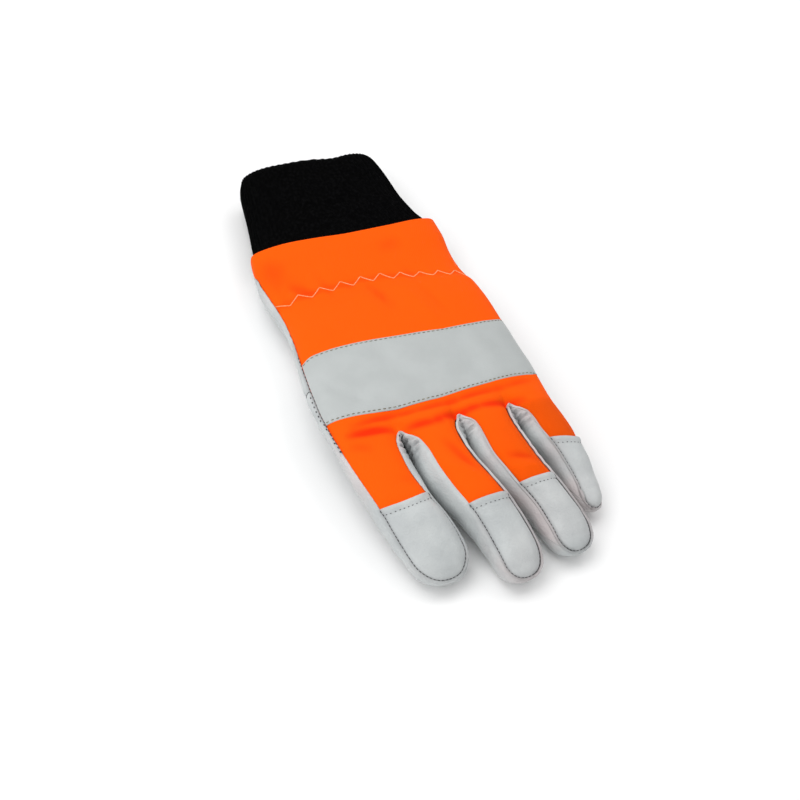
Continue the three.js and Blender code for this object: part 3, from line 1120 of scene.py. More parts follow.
class Wire:
    """A shader value that takes part in sums: each operator adds a Math node."""

    def __init__(self, paint: "Paint", socket: bpy.types.NodeSocket) -> None:
        """Args:
        paint: The material that it belongs to.
        socket: The output that carries the value.
        """
        self.paint = paint
        self.socket = socket

    __add__ = operator("ADD")
    __radd__ = operator("ADD", flipped=True)
    __sub__ = operator("SUBTRACT")
    __rsub__ = operator("SUBTRACT", flipped=True)
    __mul__ = operator("MULTIPLY")
    __rmul__ = operator("MULTIPLY", flipped=True)
    __pow__ = operator("POWER")
    __rpow__ = operator("POWER", flipped=True)
    sine = operator("SINE")

    def smoothed(self, low: float, high: float) -> "Wire":
        """A smooth step from 0 at low to 1 at high.

        Args:
            low: Where it leaves 0.
            high: Where it reaches 1.

        Returns:
            The step.
        """
        ends = {"Value": self, "From Min": low, "From Max": high}
        node = self.paint.node("ShaderNodeMapRange", {"interpolation_type": "SMOOTHSTEP"}, ends)
        return Wire(self.paint, node.outputs[0])


class Paint:
    """A node material under construction, with one shader at its end."""

    def __init__(self, name: str) -> None:
        """Args:
        name: The material's name.
        """
        self.material = bpy.data.materials.new(name)
        self.material.use_nodes = True
        self.tree = self.material.node_tree
        self.shader = self.tree.nodes["Principled BSDF"]

    def node(
        self,
        kind: str,
        settings: dict[str, Any] | None = None,
        sockets: dict[str | int, Any] | None = None,
    ) -> bpy.types.Node:
        """Adds a node.

        Args:
            kind: The node's type.
            settings: Its own settings.
            sockets: Values or links of its inputs.

        Returns:
            The node.
        """
        node = self.tree.nodes.new(kind)
        for key, value in (settings or {}).items():
            setattr(node, key, value)
        for key, value in (sockets or {}).items():
            self.feed(node.inputs[key], value)
        return node

    def feed(self, target: bpy.types.NodeSocket, value: Any) -> None:
        """Sets an input to a value or links it."""
        if isinstance(value, Wire):
            value = value.socket
        if isinstance(value, bpy.types.NodeSocket):
            self.tree.links.new(value, target)
        else:
            target.default_value = value

    def set(self, **values: Any) -> None:
        """Feeds the shader's inputs; an underscore stands for a space."""
        for key, value in values.items():
            self.feed(self.shader.inputs[key.replace("_", " ")], value)

    def spot(self) -> bpy.types.NodeSocket:
        """Object coordinates."""
        return self.node("ShaderNodeTexCoord").outputs["Object"]

    def cloth(self) -> tuple[Wire, Wire]:
        """Millimetres across and along the piece.

        Returns:
            Both values.
        """
        uv = self.node("ShaderNodeUVMap", {"uv_map": "UVMap"}).outputs[0]
        parts = self.node("ShaderNodeSeparateXYZ", None, {0: uv})
        return Wire(self, parts.outputs[0]) * UV_SPAN, Wire(self, parts.outputs[1]) * UV_SPAN

    def layer(self, name: str) -> Wire:
        """A value that is stored on the mesh."""
        return Wire(self, self.node("ShaderNodeAttribute", {"attribute_name": name}).outputs["Fac"])

    def noise(self, scale: float, detail: float = 3.0, roughness: float = 0.5) -> Wire:
        """Soft noise; its scale is bumps to the metre."""
        look = {"Vector": self.spot(), "Scale": scale, "Detail": detail, "Roughness": roughness}
        return Wire(self, self.node("ShaderNodeTexNoise", None, look).outputs[0])

    def grain(self, scale: float) -> Wire:
        """Rounded cells of leather.

        Args:
            scale: Cells to the metre.

        Returns:
            How far off the middle of its cell a place is.
        """
        look = {"Vector": self.spot(), "Scale": scale, "Smoothness": 0.35}
        node = self.node("ShaderNodeTexVoronoi", {"feature": "SMOOTH_F1"}, look)
        return Wire(self, node.outputs["Distance"])

    def mix(self, share: Any, a: Any, b: Any) -> bpy.types.NodeSocket:
        """A colour between two.

        Args:
            share: How much of b.
            a: A colour or a link.
            b: A colour or a link.

        Returns:
            The link of the mixed colour.
        """
        node = self.node("ShaderNodeMix", {"data_type": "RGBA"})
        a, b = (tuple(x) + (1,) if isinstance(x, tuple) else x for x in (a, b))
        for key, value in ((0, share), (6, a), (7, b)):
            self.feed(node.inputs[key], value)
        return node.outputs[2]

    def bump(self, height: Wire, depth: float) -> None:
        """Feeds the shader's normal from a height; the depth is millimetres."""
        shape = {"Height": height, "Distance": depth * MM, "Strength": 1.0}
        self.set(Normal=self.node("ShaderNodeBump", None, shape).outputs[0])


@dataclass(frozen=True)
class WovenFinish:
    """High-visibility orange polyester: a fine twill, painted redder in its folds and darker along
    some seams as painted shade.
    """

    colour: Triple = (1.0, 0.108, 0.001)
    # the deeper red of the painted shade in the folds, which the cloudiness and the weave also lean
    # towards
    deep: Triple = (0.88, 0.028, 0.0005)
    pitch: float = 0.7

    def make(self) -> Material:
        """Weaves the orange cloth.

        Returns:
            The material.
        """
        paint = Paint("woven orange")
        wide, deep = paint.cloth()
        turn = 2 * math.pi / self.pitch
        warp, weft = (wide * turn).sine(), (deep * turn).sine()
        twill = ((wide + deep) * (turn / 2)).sine()
        weave = warp * weft + twill * 0.5
        cloudy = paint.noise(38, 3)
        # painted shade in the folds and along some seams, with random cloudiness
        dark = paint.layer(FOLD_LAYER) * 0.9 + paint.layer(NEAR_LAYER) * 0.45 + (cloudy - 0.5) * 0.5
        shade = dark.smoothed(0.0, 1.1)
        colour = paint.mix(shade, self.colour, self.deep)
        fine = paint.mix((weave.smoothed(-1.4, 0.4) * -0.12) + 0.12, colour, self.deep)
        paint.set(Base_Color=fine, Roughness=weave * 0.06 + 0.8, Specular_IOR_Level=0.08)
        paint.bump(weave * 0.5 + paint.noise(900, 2) * 0.6, 0.06)
        return paint.material


@dataclass(frozen=True)
class LeatherFinish:
    """Pale grey grain leather: faint pink stains, with painted shade along the seams and in the
    creases.
    """

    name: str = "grey leather"
    colour: Triple = (0.467, 0.492, 0.497)
    light: Triple = (0.545, 0.57, 0.57)
    pink: Triple = (0.64, 0.49, 0.485)
    # the colour of the painted shade near the seams and in the creases
    painted_shade: Triple = (0.22, 0.22, 0.225)
    pinkness: float = 0.3

    def make(self) -> Material:
        """Tans the leather.

        Returns:
            The material.
        """
        paint = Paint(self.name)
        cells = paint.grain(1150)
        fine = paint.noise(2600, 2)
        cloudy = paint.noise(55, 4, 0.6)
        blotch = paint.noise(24, 2)
        pale = paint.mix(cloudy.smoothed(0.35, 0.7), self.colour, self.light)
        stained = paint.mix(blotch.smoothed(0.45, 0.65) * self.pinkness, pale, self.pink)
        # painted shade near the seams and in the creases; the grain's own darker cell edges are
        # added to it
        shaded = paint.layer(NEAR_LAYER) ** 2 * 0.4 + paint.layer(FOLD_LAYER) * 0.5
        darkened = paint.mix(shaded + (1 - cells.smoothed(0.0, 0.25)) * 0.06, stained, self.painted_shade)
        paint.set(Base_Color=darkened, Roughness=cloudy * 0.16 + 0.5, Specular_IOR_Level=0.4)
        paint.set(Sheen_Weight=0.05)
        paint.bump(cells * 0.8 + fine * 0.5 + paint.noise(260, 3) * 1.2, 0.16)
        return paint.material


@dataclass(frozen=True)
class BandFinish:
    """Coated pale grey cloth: nearly smooth, faintly mottled, with painted shade along its edges.
    """

    colour: Triple = (0.425, 0.449, 0.446)
    light: Triple = (0.455, 0.48, 0.477)
    # the colour of the painted shade along the band's edges
    painted_shade: Triple = (0.27, 0.28, 0.27)
    pitch: float = 0.45

    def make(self) -> Material:
        """Coats the band.

        Returns:
            The material.
        """
        paint = Paint("coated band")
        wide, deep = paint.cloth()
        turn = 2 * math.pi / self.pitch
        weave = (wide * turn).sine() * (deep * turn).sine()
        cloudy = paint.noise(60, 3)
        pale = paint.mix(cloudy.smoothed(0.35, 0.7), self.colour, self.light)
        # painted shade along the band's edges
        darkened = paint.mix(paint.layer(NEAR_LAYER) ** 2 * 0.35, pale, self.painted_shade)
        paint.set(Base_Color=darkened, Roughness=cloudy * 0.2 + 0.38, Specular_IOR_Level=0.4)
        paint.bump(weave * 0.25 + paint.noise(500, 3), 0.05)
        return paint.material


@dataclass(frozen=True)
class KnitFinish:
    """Black rib knit: small stitches stacked up each rib."""

    colour: Triple = (0.0012, 0.0012, 0.0013)
    fluff: Triple = (0.004, 0.004, 0.0043)
    course: float = 1.1
    wave: float = 0.35
    wave_turn: float = 2.2

    def make(self) -> Material:
        """Knits the cuff.

        Returns:
            The material.
        """
        paint = Paint("black knit")
        wide, deep = paint.cloth()
        bent = deep + (wide * self.wave_turn).sine() * self.wave
        course = (bent * (2 * math.pi / self.course)).sine()
        colour = paint.mix(paint.noise(700, 3).smoothed(0.4, 0.75), self.colour, self.fluff)
        paint.set(Base_Color=colour, Roughness=1.0, Specular_IOR_Level=0.02)
        paint.bump(course * 0.7 + paint.noise(1800, 2) * 0.6, 0.25)
        return paint.material


@dataclass(frozen=True)
class ThreadFinish:
    """Sewing thread: its colour wavers from ply to ply."""

    name: str
    colour: Triple
    dark: Triple

    def make(self) -> Material:
        """Spins the thread.

        Returns:
            The material.
        """
        paint = Paint(self.name)
        plies = paint.noise(1400, 2)
        paint.set(Base_Color=paint.mix(plies.smoothed(0.4, 0.65), self.dark, self.colour))
        paint.set(Roughness=0.6)
        paint.bump(plies, 0.08)
        return paint.material


@dataclass(frozen=True)
class FloorFinish:
    """A plain matt white sweep."""

    colour: Triple = (0.93, 0.93, 0.93)
    lighter: float = 1.03

    def make(self) -> Material:
        """Paints the floor.

        Returns:
            The material.
        """
        paint = Paint("pale floor")
        shade = paint.noise(3, 2)
        lighter = tuple(min(c * self.lighter, 1.0) for c in self.colour)
        paint.set(Base_Color=paint.mix(shade, self.colour, lighter), Roughness=0.9)
        paint.set(Specular_IOR_Level=0.1)
        return paint.material


@dataclass(frozen=True)
class Wardrobe:
    """Every finish of the glove, made once."""

    woven: Material = field(default_factory=WovenFinish().make)
    leather: Material = field(default_factory=LeatherFinish().make)
    cap_leather: Material = field(
        default_factory=LeatherFinish(name="cap leather", pinkness=0.06).make
    )
    gusset_leather: Material = field(
        default_factory=LeatherFinish(name="gusset leather", pinkness=0.4).make
    )
    band: Material = field(default_factory=BandFinish().make)
    knit: Material = field(default_factory=KnitFinish().make)
    dark_thread: Material = field(
        default_factory=ThreadFinish("dark thread", (0.10, 0.10, 0.105), (0.03, 0.03, 0.035)).make
    )
    olive_thread: Material = field(
        default_factory=ThreadFinish("olive thread", (0.30, 0.28, 0.17), (0.14, 0.13, 0.08)).make
    )
    peach_thread: Material = field(
        default_factory=ThreadFinish("peach thread", (1.0, 0.50, 0.25), (0.9, 0.32, 0.12)).make
    )


# Creases, each as x and y at both ends, depth and width

BAND_FOLDS = Folds(
    (-50, -14, -30, -38, 0.5, 3.0), (-52, -2, -44, -24, 0.4, 3.0), (8, -2, 30, -36, 0.45, 5.0),
    (36, 0, 50, -30, 0.5, 4.5), (-20, 0, -6, -22, 0.3, 4.0),
)
BACK_FOLDS = Folds(
    (-50, -41.5, -16, -43.5, 0.8, 2.4), (-24, -44.0, 8, -43.5, 0.8, 2.4),
    (0, -43.8, 34, -42.0, 0.8, 2.4), (28, -42.6, 54, -40.0, 0.6, 2.4),
    (-48, -43.8, -10, -46.8, -0.4, 2.0), (-12, -46.8, 40, -47.0, -0.4, 2.0),
    (-54, -45.5, -27, -50.0, 1.2, 2.8), (-26, -51.0, -5, -52.8, 1.1, 2.8),
    (-10, -51.5, 15, -49.8, 1.2, 2.8), (9, -49.8, 43, -52.0, 1.1, 2.8),
    (-55, -51, -43, -58, 0.4, 3.0), (-42, -75, -31, -80, 0.3, 4.0),
    (-11.5, -62, -3, -88, 0.7, 3.2), (-17, -75, 2, -93, -0.8, 2.6), (13, -80, 30, -85, 0.65, 2.4),
    (12, -86, 30, -90, -0.7, 2.2), (0.5, 43, 4.5, 14, 0.5, 3.0), (-7.5, 42, -3, 12, -0.35, 3.2),
    (15, 36, 21, 5, -0.65, 3.5), (23.5, 32, 30, 5, 0.3, 3.5), (-16, 64, -6, 46, -0.45, 3.5),
    (-38, 54, -24, 43, 0.4, 3.5), (-40, 78, -38, 48, 0.45, 8.0), (16, 63, 34, 65, 0.35, 5.0),
    (-2, 74, 16, 74, -0.3, 5.0), (-44, 30, -35, 9, -0.35, 4.0),
)
PALM_FOLDS = Folds(
    (-62, -13.5, -52, -12, 0.9, 1.0), (-62, 20, -50, 17, 0.4, 2.5),
    (-62, -30, -54, -28, 0.35, 2.0),
)
CUFF_FOLDS = Folds(
    (-34, 112, 20, 100, 0.7, 5.0), (14, 128, 50, 112, 0.6, 5.0), (-30, 92, 30, 88, 0.5, 4.0),
)


# Pieces


@dataclass(frozen=True)
class KnuckleBand:
    """The pale strip across the knuckles, on the woven back."""

    lift: float = 0.95
    bent_in: float = 0.6  # the share of the lift that the strip is bent with
    columns: int = 110
    rows: int = 34
    inset: float = 0.9
    middle_y: float = -18.0
    stitch_rows: tuple[float, float] = (0.972, 0.03)
    stitch_end: float = 0.985
    wall: Wall = Wall(thick=0.8, round_edge=0.2)

    def point(self, share: float, height: float) -> Vector:
        """A point of the strip.

        Args:
            share: From 0 on the left to 1 on the right.
            height: From 0 at its lower edge to 1 at its upper edge.

        Returns:
            The point in millimetres.
        """
        column = lerp(self.inset, BACK.columns, share)
        top, bottom = BAND_EDGES.values(BACK.point(column, self.middle_y).x)
        point = BACK.point(column, lerp(bottom, top, height))
        return point + Vector((0, 0, self.lift * self.bent_in))

    def make(self, seams: Seams, clothes: Wardrobe) -> None:
        """Makes the strip and its stitches.

        Args:
            seams: All sewn lines; the strip heeds its own edges alone.
            clothes: The finishes.
        """
        edges = Seams([band_line(0.0), band_line(1.0)])
        quilting = Quilting(pinch=0.35, lip=1.6, puff=0.35, reach=9, ripple=0.25, ripple_size=16)
        panel = Panel(
            self.columns, self.rows, self.point, HAND.core,
            lambda p: self.lift * (1 - self.bent_in) + quilting.at(p, edges), BAND_FOLDS.depth,
        )
        skin = make_skin(
            "knuckle_strip", "knuckle_band", Slot.BAND, clothes.band, self.wall, [panel], edges
        )
        row = Stitch(length=1.7, pitch=2.5, thick=0.24, rise=0.08)
        rows = [(row, band_line(height, self.stitch_end)) for height in self.stitch_rows]
        make_thread("band_stitches", clothes.olive_thread, skin, *rows)


BAND = KnuckleBand()


@dataclass(frozen=True)
class WovenBack:
    """The woven back, from the hem to the caps of the fingers, with its waist and thread."""

    quilting: Quilting = Quilting(pinch=0.4, lip=0.9, puff=0.5, reach=6, ripple=0.3, ripple_size=22)
    wall: Wall = Wall(thick=1.1, round_edge=0.3)
    waist_y: float = 44.6
    droop: tuple[float, float] = (8.0, 0.055)  # from this x on, by so much a millimetre
    sag: Triple = (2.0, 38.0, 3.6)  # from this x, over this way, by so much
    arc: tuple[float, float] = (-12.0, 26.0)  # its crown's x and its length
    waist_depth: float = 0.4
    waist_width: float = 2.6
    gathers: float = 0.45
    gather_reach: tuple[float, float] = (3.2, 0.6)  # outer and inner, in widths of the waist
    gather_size: tuple[float, float] = (5.5, 40.0)
    zigzag_start: tuple[float, float] = (0.4, -44.0)  # its column, and the x of its waist
    zigzag_end: float = 54.5
    zigzag_steps: int = 160
    tooth: float = 12.2
    narrowing: float = 0.0014
    tooth_height: float = 4.6
    thread: Thread = Thread(0.23)

    def place(self, share: float, down: float) -> Vector:
        """A point of the back.

        Args:
            share: From 0 on the left to 1 on the right.
            down: From 0 at the hem to 1 at the caps.

        Returns:
            The point in millimetres.
        """
        column = share * BACK.columns
        row = down * (BACK.hand_rows + BACK.finger_rows)
        if row <= BACK.hand_rows:
            return BACK.point(column, lerp(HEM_Y, CROTCH_Y, row / BACK.hand_rows))
        i, along, gap = BACK.lane(column)
        if gap:
            return BACK.point(column, CROTCH_Y)
        y = lerp(CROTCH_Y, cap_edge(FINGERS[i], along), (row - BACK.hand_rows) / BACK.finger_rows)
        return FINGERS[i].over(y, along)

    def keep(self, i: int, j: int) -> bool:
        """Whether a square of the grid is cloth; the slits between fingers aren't."""
        return j < BACK.hand_rows or not BACK.lane(i + 0.5)[2]

    def waist_line(self, x: float) -> float:
        """The y of the gathered waist.

        Args:
            x: The place across the glove.

        Returns:
            Millimetres.
        """
        start, slope = self.droop
        low, run, depth = self.sag
        crown, length = self.arc
        droop = slope * max(x - start, 0) + depth * smooth((x - low) / run)
        return self.waist_y + math.cos((x - crown) / length) - droop

    def crease(self, point: Vector) -> float:
        """Depth of the waist, its gathers and the back's folds.

        Args:
            point: The place.

        Returns:
            Millimetres.
        """
        off = (point.y - self.waist_line(point.x)) / self.waist_width
        outer, inner = self.gather_reach
        wide, deep = self.gather_size
        fan = bell(off / outer) * (1 - bell(off / inner))
        gather = self.gathers * fan * noise.noise(Vector((point.x / wide, point.y / deep, 3.0)))
        return self.waist_depth * bell(off) + gather + BACK_FOLDS.depth(point)

    def tooth_point(self, x: float) -> Vector:
        """A point of the thread over the waist.

        Args:
            x: The place across the glove.

        Returns:
            The point in millimetres.
        """
        run = x - self.zigzag_x
        swing = abs(run / self.tooth * (1 + self.narrowing * run) % 1 * 2 - 1) * 2 - 1
        y = self.waist_line(x) + swing * self.tooth_height / 2
        return BACK.point(BACK.column_over(x, y), y)

    @property
    def zigzag_x(self) -> float:
        """Where the thread starts."""
        column, x = self.zigzag_start
        return BACK.point(column, self.waist_line(x)).x

    def make(self, seams: Seams, clothes: Wardrobe) -> None:
        """Makes the back and its thread.

        Args:
            seams: All sewn lines.
            clothes: The finishes.
        """
        panel = Panel(
            BACK.columns, BACK.hand_rows + BACK.finger_rows, self.place, HAND.core,
            lambda p: self.quilting.at(p, seams), self.crease, self.keep,
        )
        skin = make_skin(
            "woven_back", "back_panel", Slot.WOVEN, clothes.woven, self.wall, [panel], seams
        )
        line = trace(self.tooth_point, self.zigzag_steps, self.zigzag_x, self.zigzag_end)
        make_thread("waist_thread", clothes.peach_thread, skin, (self.thread, line))


@dataclass(frozen=True)
class FingerCap:
    """A leather cap over one fingertip, with a rolled upper edge and two rows of stitches."""

    finger: Finger
    columns: int = 28
    straight_rows: int = 22
    dome_rows: int = 16
    overlap: float = 0.9
    lift: float = 0.15
    roll: float = 0.75
    roll_width: float = 2.2
    row_gap: float = 2.0
    groove: float = 0.35
    groove_width: float = 0.6
    rim_ends: tuple[float, float] = (0.12, 0.88)
    wall: Wall = Wall(thick=1.3, round_edge=0.45)

    def place(self, share: float, down: float) -> Vector:
        """A point of the cap.

        Args:
            share: From 0 on the left to 1 on the right.
            down: From 0 at its upper edge to 1 at the tip.

        Returns:
            The point in millimetres.
        """
        row = down * (self.straight_rows + self.dome_rows)
        if row > self.straight_rows:
            return self.finger.cap(share, (row - self.straight_rows) / self.dome_rows)
        start = cap_edge(self.finger, share) + self.overlap
        return self.finger.over(lerp(start, self.finger.dome_y, row / self.straight_rows), share)

    def height(self, point: Vector, quilting: Quilting, arc: Seams, rim: Seams) -> float:
        """The cap's relief: quilted inside its seam, rolled and grooved along its upper edge.

        Args:
            point: The place.
            quilting: How the leather swells.
            arc: The upper edge.
            rim: The seam round the tip.

        Returns:
            Millimetres over the plain surface.
        """
        off = arc.distance(point)
        roll = self.roll * bell(off / self.roll_width)
        stitched = self.groove * bell((off - self.row_gap) / self.groove_width)
        return quilting.at(point, rim) + roll - stitched + self.lift

    def make(self, seams: Seams, clothes: Wardrobe) -> None:
        """Makes the cap and its stitches.

        Args:
            seams: All sewn lines; the cap heeds its own alone.
            clothes: The finishes.
        """
        finger = self.finger
        quilting = Quilting(pinch=0.55, lip=0.8, puff=1.0, reach=6, ripple=0.35, seed=finger.tip)
        arc, rim = Seams([cap_arc(finger)]), Seams([back_seam(finger, *self.rim_ends)])
        panel = Panel(
            self.columns, self.straight_rows + self.dome_rows, self.place, finger.core,
            lambda p: self.height(p, quilting, arc, rim),
        )
        skin = make_skin(
            f"{finger.name}_cap_leather", f"{finger.name}_cap", Slot.LEATHER,
            clothes.cap_leather, self.wall, [panel], rim,
        )
        make_thread(
            f"{finger.name}_cap_stitches", clothes.dark_thread, skin,
            (Stitch(length=0.9, pitch=2.0, thick=0.2), cap_arc(finger, self.row_gap)[2:-2]),
            (
                Stitch(length=1.6, pitch=1.9, thick=0.26, rise=0.05),
                back_seam(finger, finger.cap_share, 1 - finger.cap_share),
            ),
        )


@dataclass(frozen=True)
class Gusset:
    """The leather fork between two fingers, pleated at the crotch."""

    node: str
    left: Finger
    right: Finger
    bend_columns: int = 20
    wall_columns: int = 60
    rows: int = 16
    foot_depth: float = 1.5
    pleats: float = 1.5
    pleat_y: float = -5.0
    pleat_reach: float = 7.0
    pleat_slant: Triple = (0.2, 1.9, 0.45)
    pleat_gap: float = 2.2
    wall: Wall = Wall(thick=1.1, round_edge=0.15)

    @property
    def columns(self) -> int:
        """Columns along the whole fork."""
        return 2 * self.wall_columns + self.bend_columns

    def place(self, share: float, down: float) -> Vector:
        """A point of the fork: up one finger's side, round the crotch, down the other's.

        Args:
            share: From 0 at the left finger's tip to 1 at the right finger's.
            down: From 0 at the back to 1 at the palm.

        Returns:
            The point in millimetres.
        """
        step = share * self.columns
        if step <= self.wall_columns:
            return self.side(self.left, Side.RIGHT, 1 - step / self.wall_columns, down)
        if step >= self.columns - self.wall_columns:
            way = (step - self.wall_columns - self.bend_columns) / self.wall_columns
            return self.side(self.right, Side.LEFT, way, down)
        way = (step - self.wall_columns) / self.bend_columns
        a = self.side(self.left, Side.RIGHT, 0.0, down)
        b = self.side(self.right, Side.LEFT, 0.0, down)
        bow = math.sin(math.pi * way)
        lift = BACK.crotch_lift * (1 - down)
        depth = BACK.crotch_depth + self.foot_depth * down
        return a.lerp(b, way) + Vector((0, depth * bow, lift * bow))

    def side(self, finger: Finger, side: Side, way: float, down: float) -> Vector:
        """A point of one finger's side.

        Args:
            finger: The finger.
            side: Its side.
            way: From 0 at the crotch to 1 at the fork's point.
            down: From 0 at the back to 1 at the palm.

        Returns:
            The point in millimetres.
        """
        reach = (CROTCH_Y - finger.tip - GUSSET_MARGIN) * way
        walk = reach if side is Side.LEFT else finger.length - reach
        latitude = lerp(finger.seam(walk), gusset_foot(finger, walk), down)
        return finger.wall(walk, latitude)

    def pleat(self, point: Vector, seams: Seams) -> float:
        """Depth of the pleats that fan out of the crotch.

        Args:
            point: The place.
            seams: The lines that hold them flat.

        Returns:
            Millimetres.
        """
        x, y, z = self.pleat_slant
        fade = bell((point.y - CROTCH_Y - self.pleat_y) / self.pleat_reach)
        wave = 0.5 + 0.5 * math.sin(point.y * y + point.z * z + point.x * x)
        return self.pleats * fade * wave**3 * smooth(seams.distance(point) / self.pleat_gap)

    def make(self, seams: Seams, clothes: Wardrobe) -> None:
        """Makes the fork.

        Args:
            seams: All sewn lines.
            clothes: The finishes.
        """
        panel = Panel(
            self.columns, self.rows, self.place, self.left.core,
            lambda p: GLOVE_LEATHER.at(p, seams), lambda p: self.pleat(p, seams),
        )
        make_skin(
            f"{self.node}_leather", self.node, Slot.LEATHER, clothes.gusset_leather, self.wall,
            [panel], seams,
        )


GLOVE_LEATHER = Quilting(
    pinch=0.3, lip=0.6, puff=0.3, reach=3.5, roll=0.7, roll_width=3.0, ripple=0.4, ripple_size=8
)
GUSSET_MARGIN = -3.5  # the gusset's point is short of the fingertip by this; below 0, past it
GUSSET_RUN_OUT = 34.0  # length over which it narrows to its point


def gusset_foot(finger: Finger, walk: float) -> float:
    """The latitude of the seam between a gusset and the palm leather.

    Args:
        finger: The finger.
        walk: Millimetres along its walk.

    Returns:
        The latitude, which meets the upper seam past the gusset's end.
    """
    bare = (finger is INDEX and walk < finger.length / 2) or (
        finger is LITTLE and walk > finger.length / 2
    )
    if bare:
        return finger.seam(walk)
    from_root = min(walk, finger.length - walk)
    end = CROTCH_Y - finger.tip - GUSSET_MARGIN
    share = smooth((from_root - end + GUSSET_RUN_OUT) / GUSSET_RUN_OUT)
    return lerp(finger.palm_latitude, finger.seam(walk), share)


@dataclass(frozen=True)
class PalmLeather:
    """The leather palm with its side strip, and the front of each finger with its lip."""

    hand_columns: int = 84
    hand_rows: int = 84
    walk_columns: int = 130
    finger_rows: int = 14
    overlap: float = 3.0  # how far the palm runs on under the crotches
    blend: float = 0.16
    flat: float = 0.5  # the underside within this angle stays the hand's own
    flat_run: float = 0.6
    finger_y: float = -28.0  # from here on the sides turn into those of the outer fingers
    finger_run: float = 23.0
    strip_top: float = 10.0
    mend_share: float = 0.02
    mend_top: float = -16.0
    join_y: float = -13.6
    join_share: float = 0.09
    wall: Wall = Wall(thick=1.3, round_edge=0.15)

    def around(self, share: float, y: float) -> Vector:
        """A point of the hand's plain section.

        Args:
            share: From 0 at the left seam, under the hand, to 1 at the right edge.
            y: The station.

        Returns:
            The point in millimetres.
        """
        row = HAND.section(y)
        under = 1.5 * math.pi
        turn = lerp(BACK.left_turn(max(y, CROTCH_Y)), 2 * math.pi, share)
        point = row.point(turn, HAND_SQUARENESS)
        point.y += hem_wave(row, point.x)
        finger = INDEX if turn < under else LITTLE
        near = smooth((abs(turn - under) - self.flat) / self.flat_run)
        near *= smooth((self.finger_y - y) / self.finger_run)
        return point.lerp(finger.rows.section(y).point(turn, FINGER_SQUARENESS), near)

    def hand(self, share: float, down: float) -> Vector:
        """A point of the palm; its edges follow those of the woven back.

        Args:
            share: From 0 at the left seam to 1 at the right edge.
            down: From 0 at the hem to 1 under the crotches.

        Returns:
            The point in millimetres.
        """
        y = lerp(HEM_Y, CROTCH_Y - self.overlap, down)
        point = self.around(share, y)
        for side, column in ((0.0, 0.0), (1.0, float(BACK.columns))):
            off = BACK.point(column, max(y, CROTCH_Y)) - self.around(side, y)
            off.y = 0
            point += off * smooth(1 - abs(share - side) / self.blend)
        return point

    def strip(self, share: float, y: float) -> Vector:
        """A point of the side strip, share 0 at its seam."""
        return self.hand(share, (HEM_Y - y) / (HEM_Y - CROTCH_Y + self.overlap))

    def front(self, finger: Finger, share: float, down: float) -> Vector:
        """A point of a finger's front.

        Args:
            finger: The finger.
            share: The share of the walk round it.
            down: From 0 at its seam to 1 in the middle of its underside.

        Returns:
            The point in millimetres.
        """
        walk = share * finger.length
        return finger.wall(walk, lerp(gusset_foot(finger, walk), -math.pi / 2, down))

    def make(self, seams: Seams, clothes: Wardrobe) -> None:
        """Makes the palm and its stitches.

        Args:
            seams: All sewn lines.
            clothes: The finishes.
        """

        def relief(point: Vector) -> float:
            """Height of the leather over its plain surface."""
            return GLOVE_LEATHER.at(point, seams)

        panels = [
            Panel(self.hand_columns, self.hand_rows, self.hand, HAND.core, relief, PALM_FOLDS.depth)
        ]
        for finger in FINGERS:
            front = partial(self.front, finger)
            panels.append(Panel(self.walk_columns, self.finger_rows, front, finger.core, relief))
        skin = make_skin(
            "palm_leather", "palm_panel", Slot.LEATHER, clothes.leather, self.wall, panels,
            seams, weld=True,
        )
        edge = left_seam(CROTCH_Y, self.strip_top)
        mend = trace(lambda y: self.strip(self.mend_share, y), 30, self.mend_top, CROTCH_Y)
        join = trace(lambda share: self.strip(share, self.join_y), 12, 0.0, self.join_share)
        make_thread(
            "palm_stitches", clothes.dark_thread, skin,
            (Stitch(length=1.6, pitch=2.6, thick=0.24, rise=0.1), edge),
            (Stitch(length=1.1, pitch=2.9, thick=0.36, rise=0.12, waver=0.5), mend),
            (Thread(0.2), join),
        )


@dataclass(frozen=True)
class ThumbLeather:
    """The leather thumb under the palm, a tube with a domed end."""

    tip: float = -53.0
    root: float = 38.0
    nose_z: float = 6.2
    columns: int = 64
    rows: int = 70
    seam_steps: int = 80
    seam_points: int = 78
    wall: Wall = Wall(thick=1.3, round_edge=0.4)

    def place(self, share: float, down: float) -> Vector:
        """A point of the thumb.

        Args:
            share: From 0 round it to 1, starting on its right.
            down: From 0 at its root to 1 at its tip.

        Returns:
            The point in millimetres.
        """
        way = down * (self.root - self.tip)
        turn = 2 * math.pi * share
        straight = self.root - self.tip - TIP_ROUND
        if way <= straight:
            return THUMB_ROWS.section(self.root - way).point(turn, FINGER_SQUARENESS)
        angle = (way - straight) / TIP_ROUND * math.pi / 2
        row = THUMB_ROWS.section(self.tip + TIP_ROUND * (1 - math.sin(angle)))
        nose = Vector((row.middle, row.y, self.nose_z))
        return nose.lerp(row.point(turn, FINGER_SQUARENESS), math.cos(angle))

    def side(self, share: float) -> list[Vector]:
        """A line along the thumb, at a share of the way round."""
        return trace(lambda down: self.place(share, down), self.seam_steps)[: self.seam_points]

    def make(self, seams: Seams, clothes: Wardrobe) -> None:
        """Makes the thumb and its seam.

        Args:
            seams: All sewn lines; the thumb heeds its own alone.
            clothes: The finishes.
        """
        own = Seams([self.side(0.5), self.side(0.0)])
        quilting = Quilting(pinch=0.6, lip=1.2, puff=0.3, reach=4, ripple=0.4)
        panel = Panel(
            self.columns, self.rows, self.place, THUMB_ROWS.core, lambda p: quilting.at(p, own)
        )
        skin = make_skin(
            "thumb_leather", "thumb", Slot.LEATHER, clothes.leather, self.wall, [panel], own,
            weld=True,
        )
        row = Stitch(length=1.5, pitch=2.1, thick=0.24, rise=0.05)
        make_thread("thumb_stitches", clothes.dark_thread, skin, (row, self.side(0.5)))


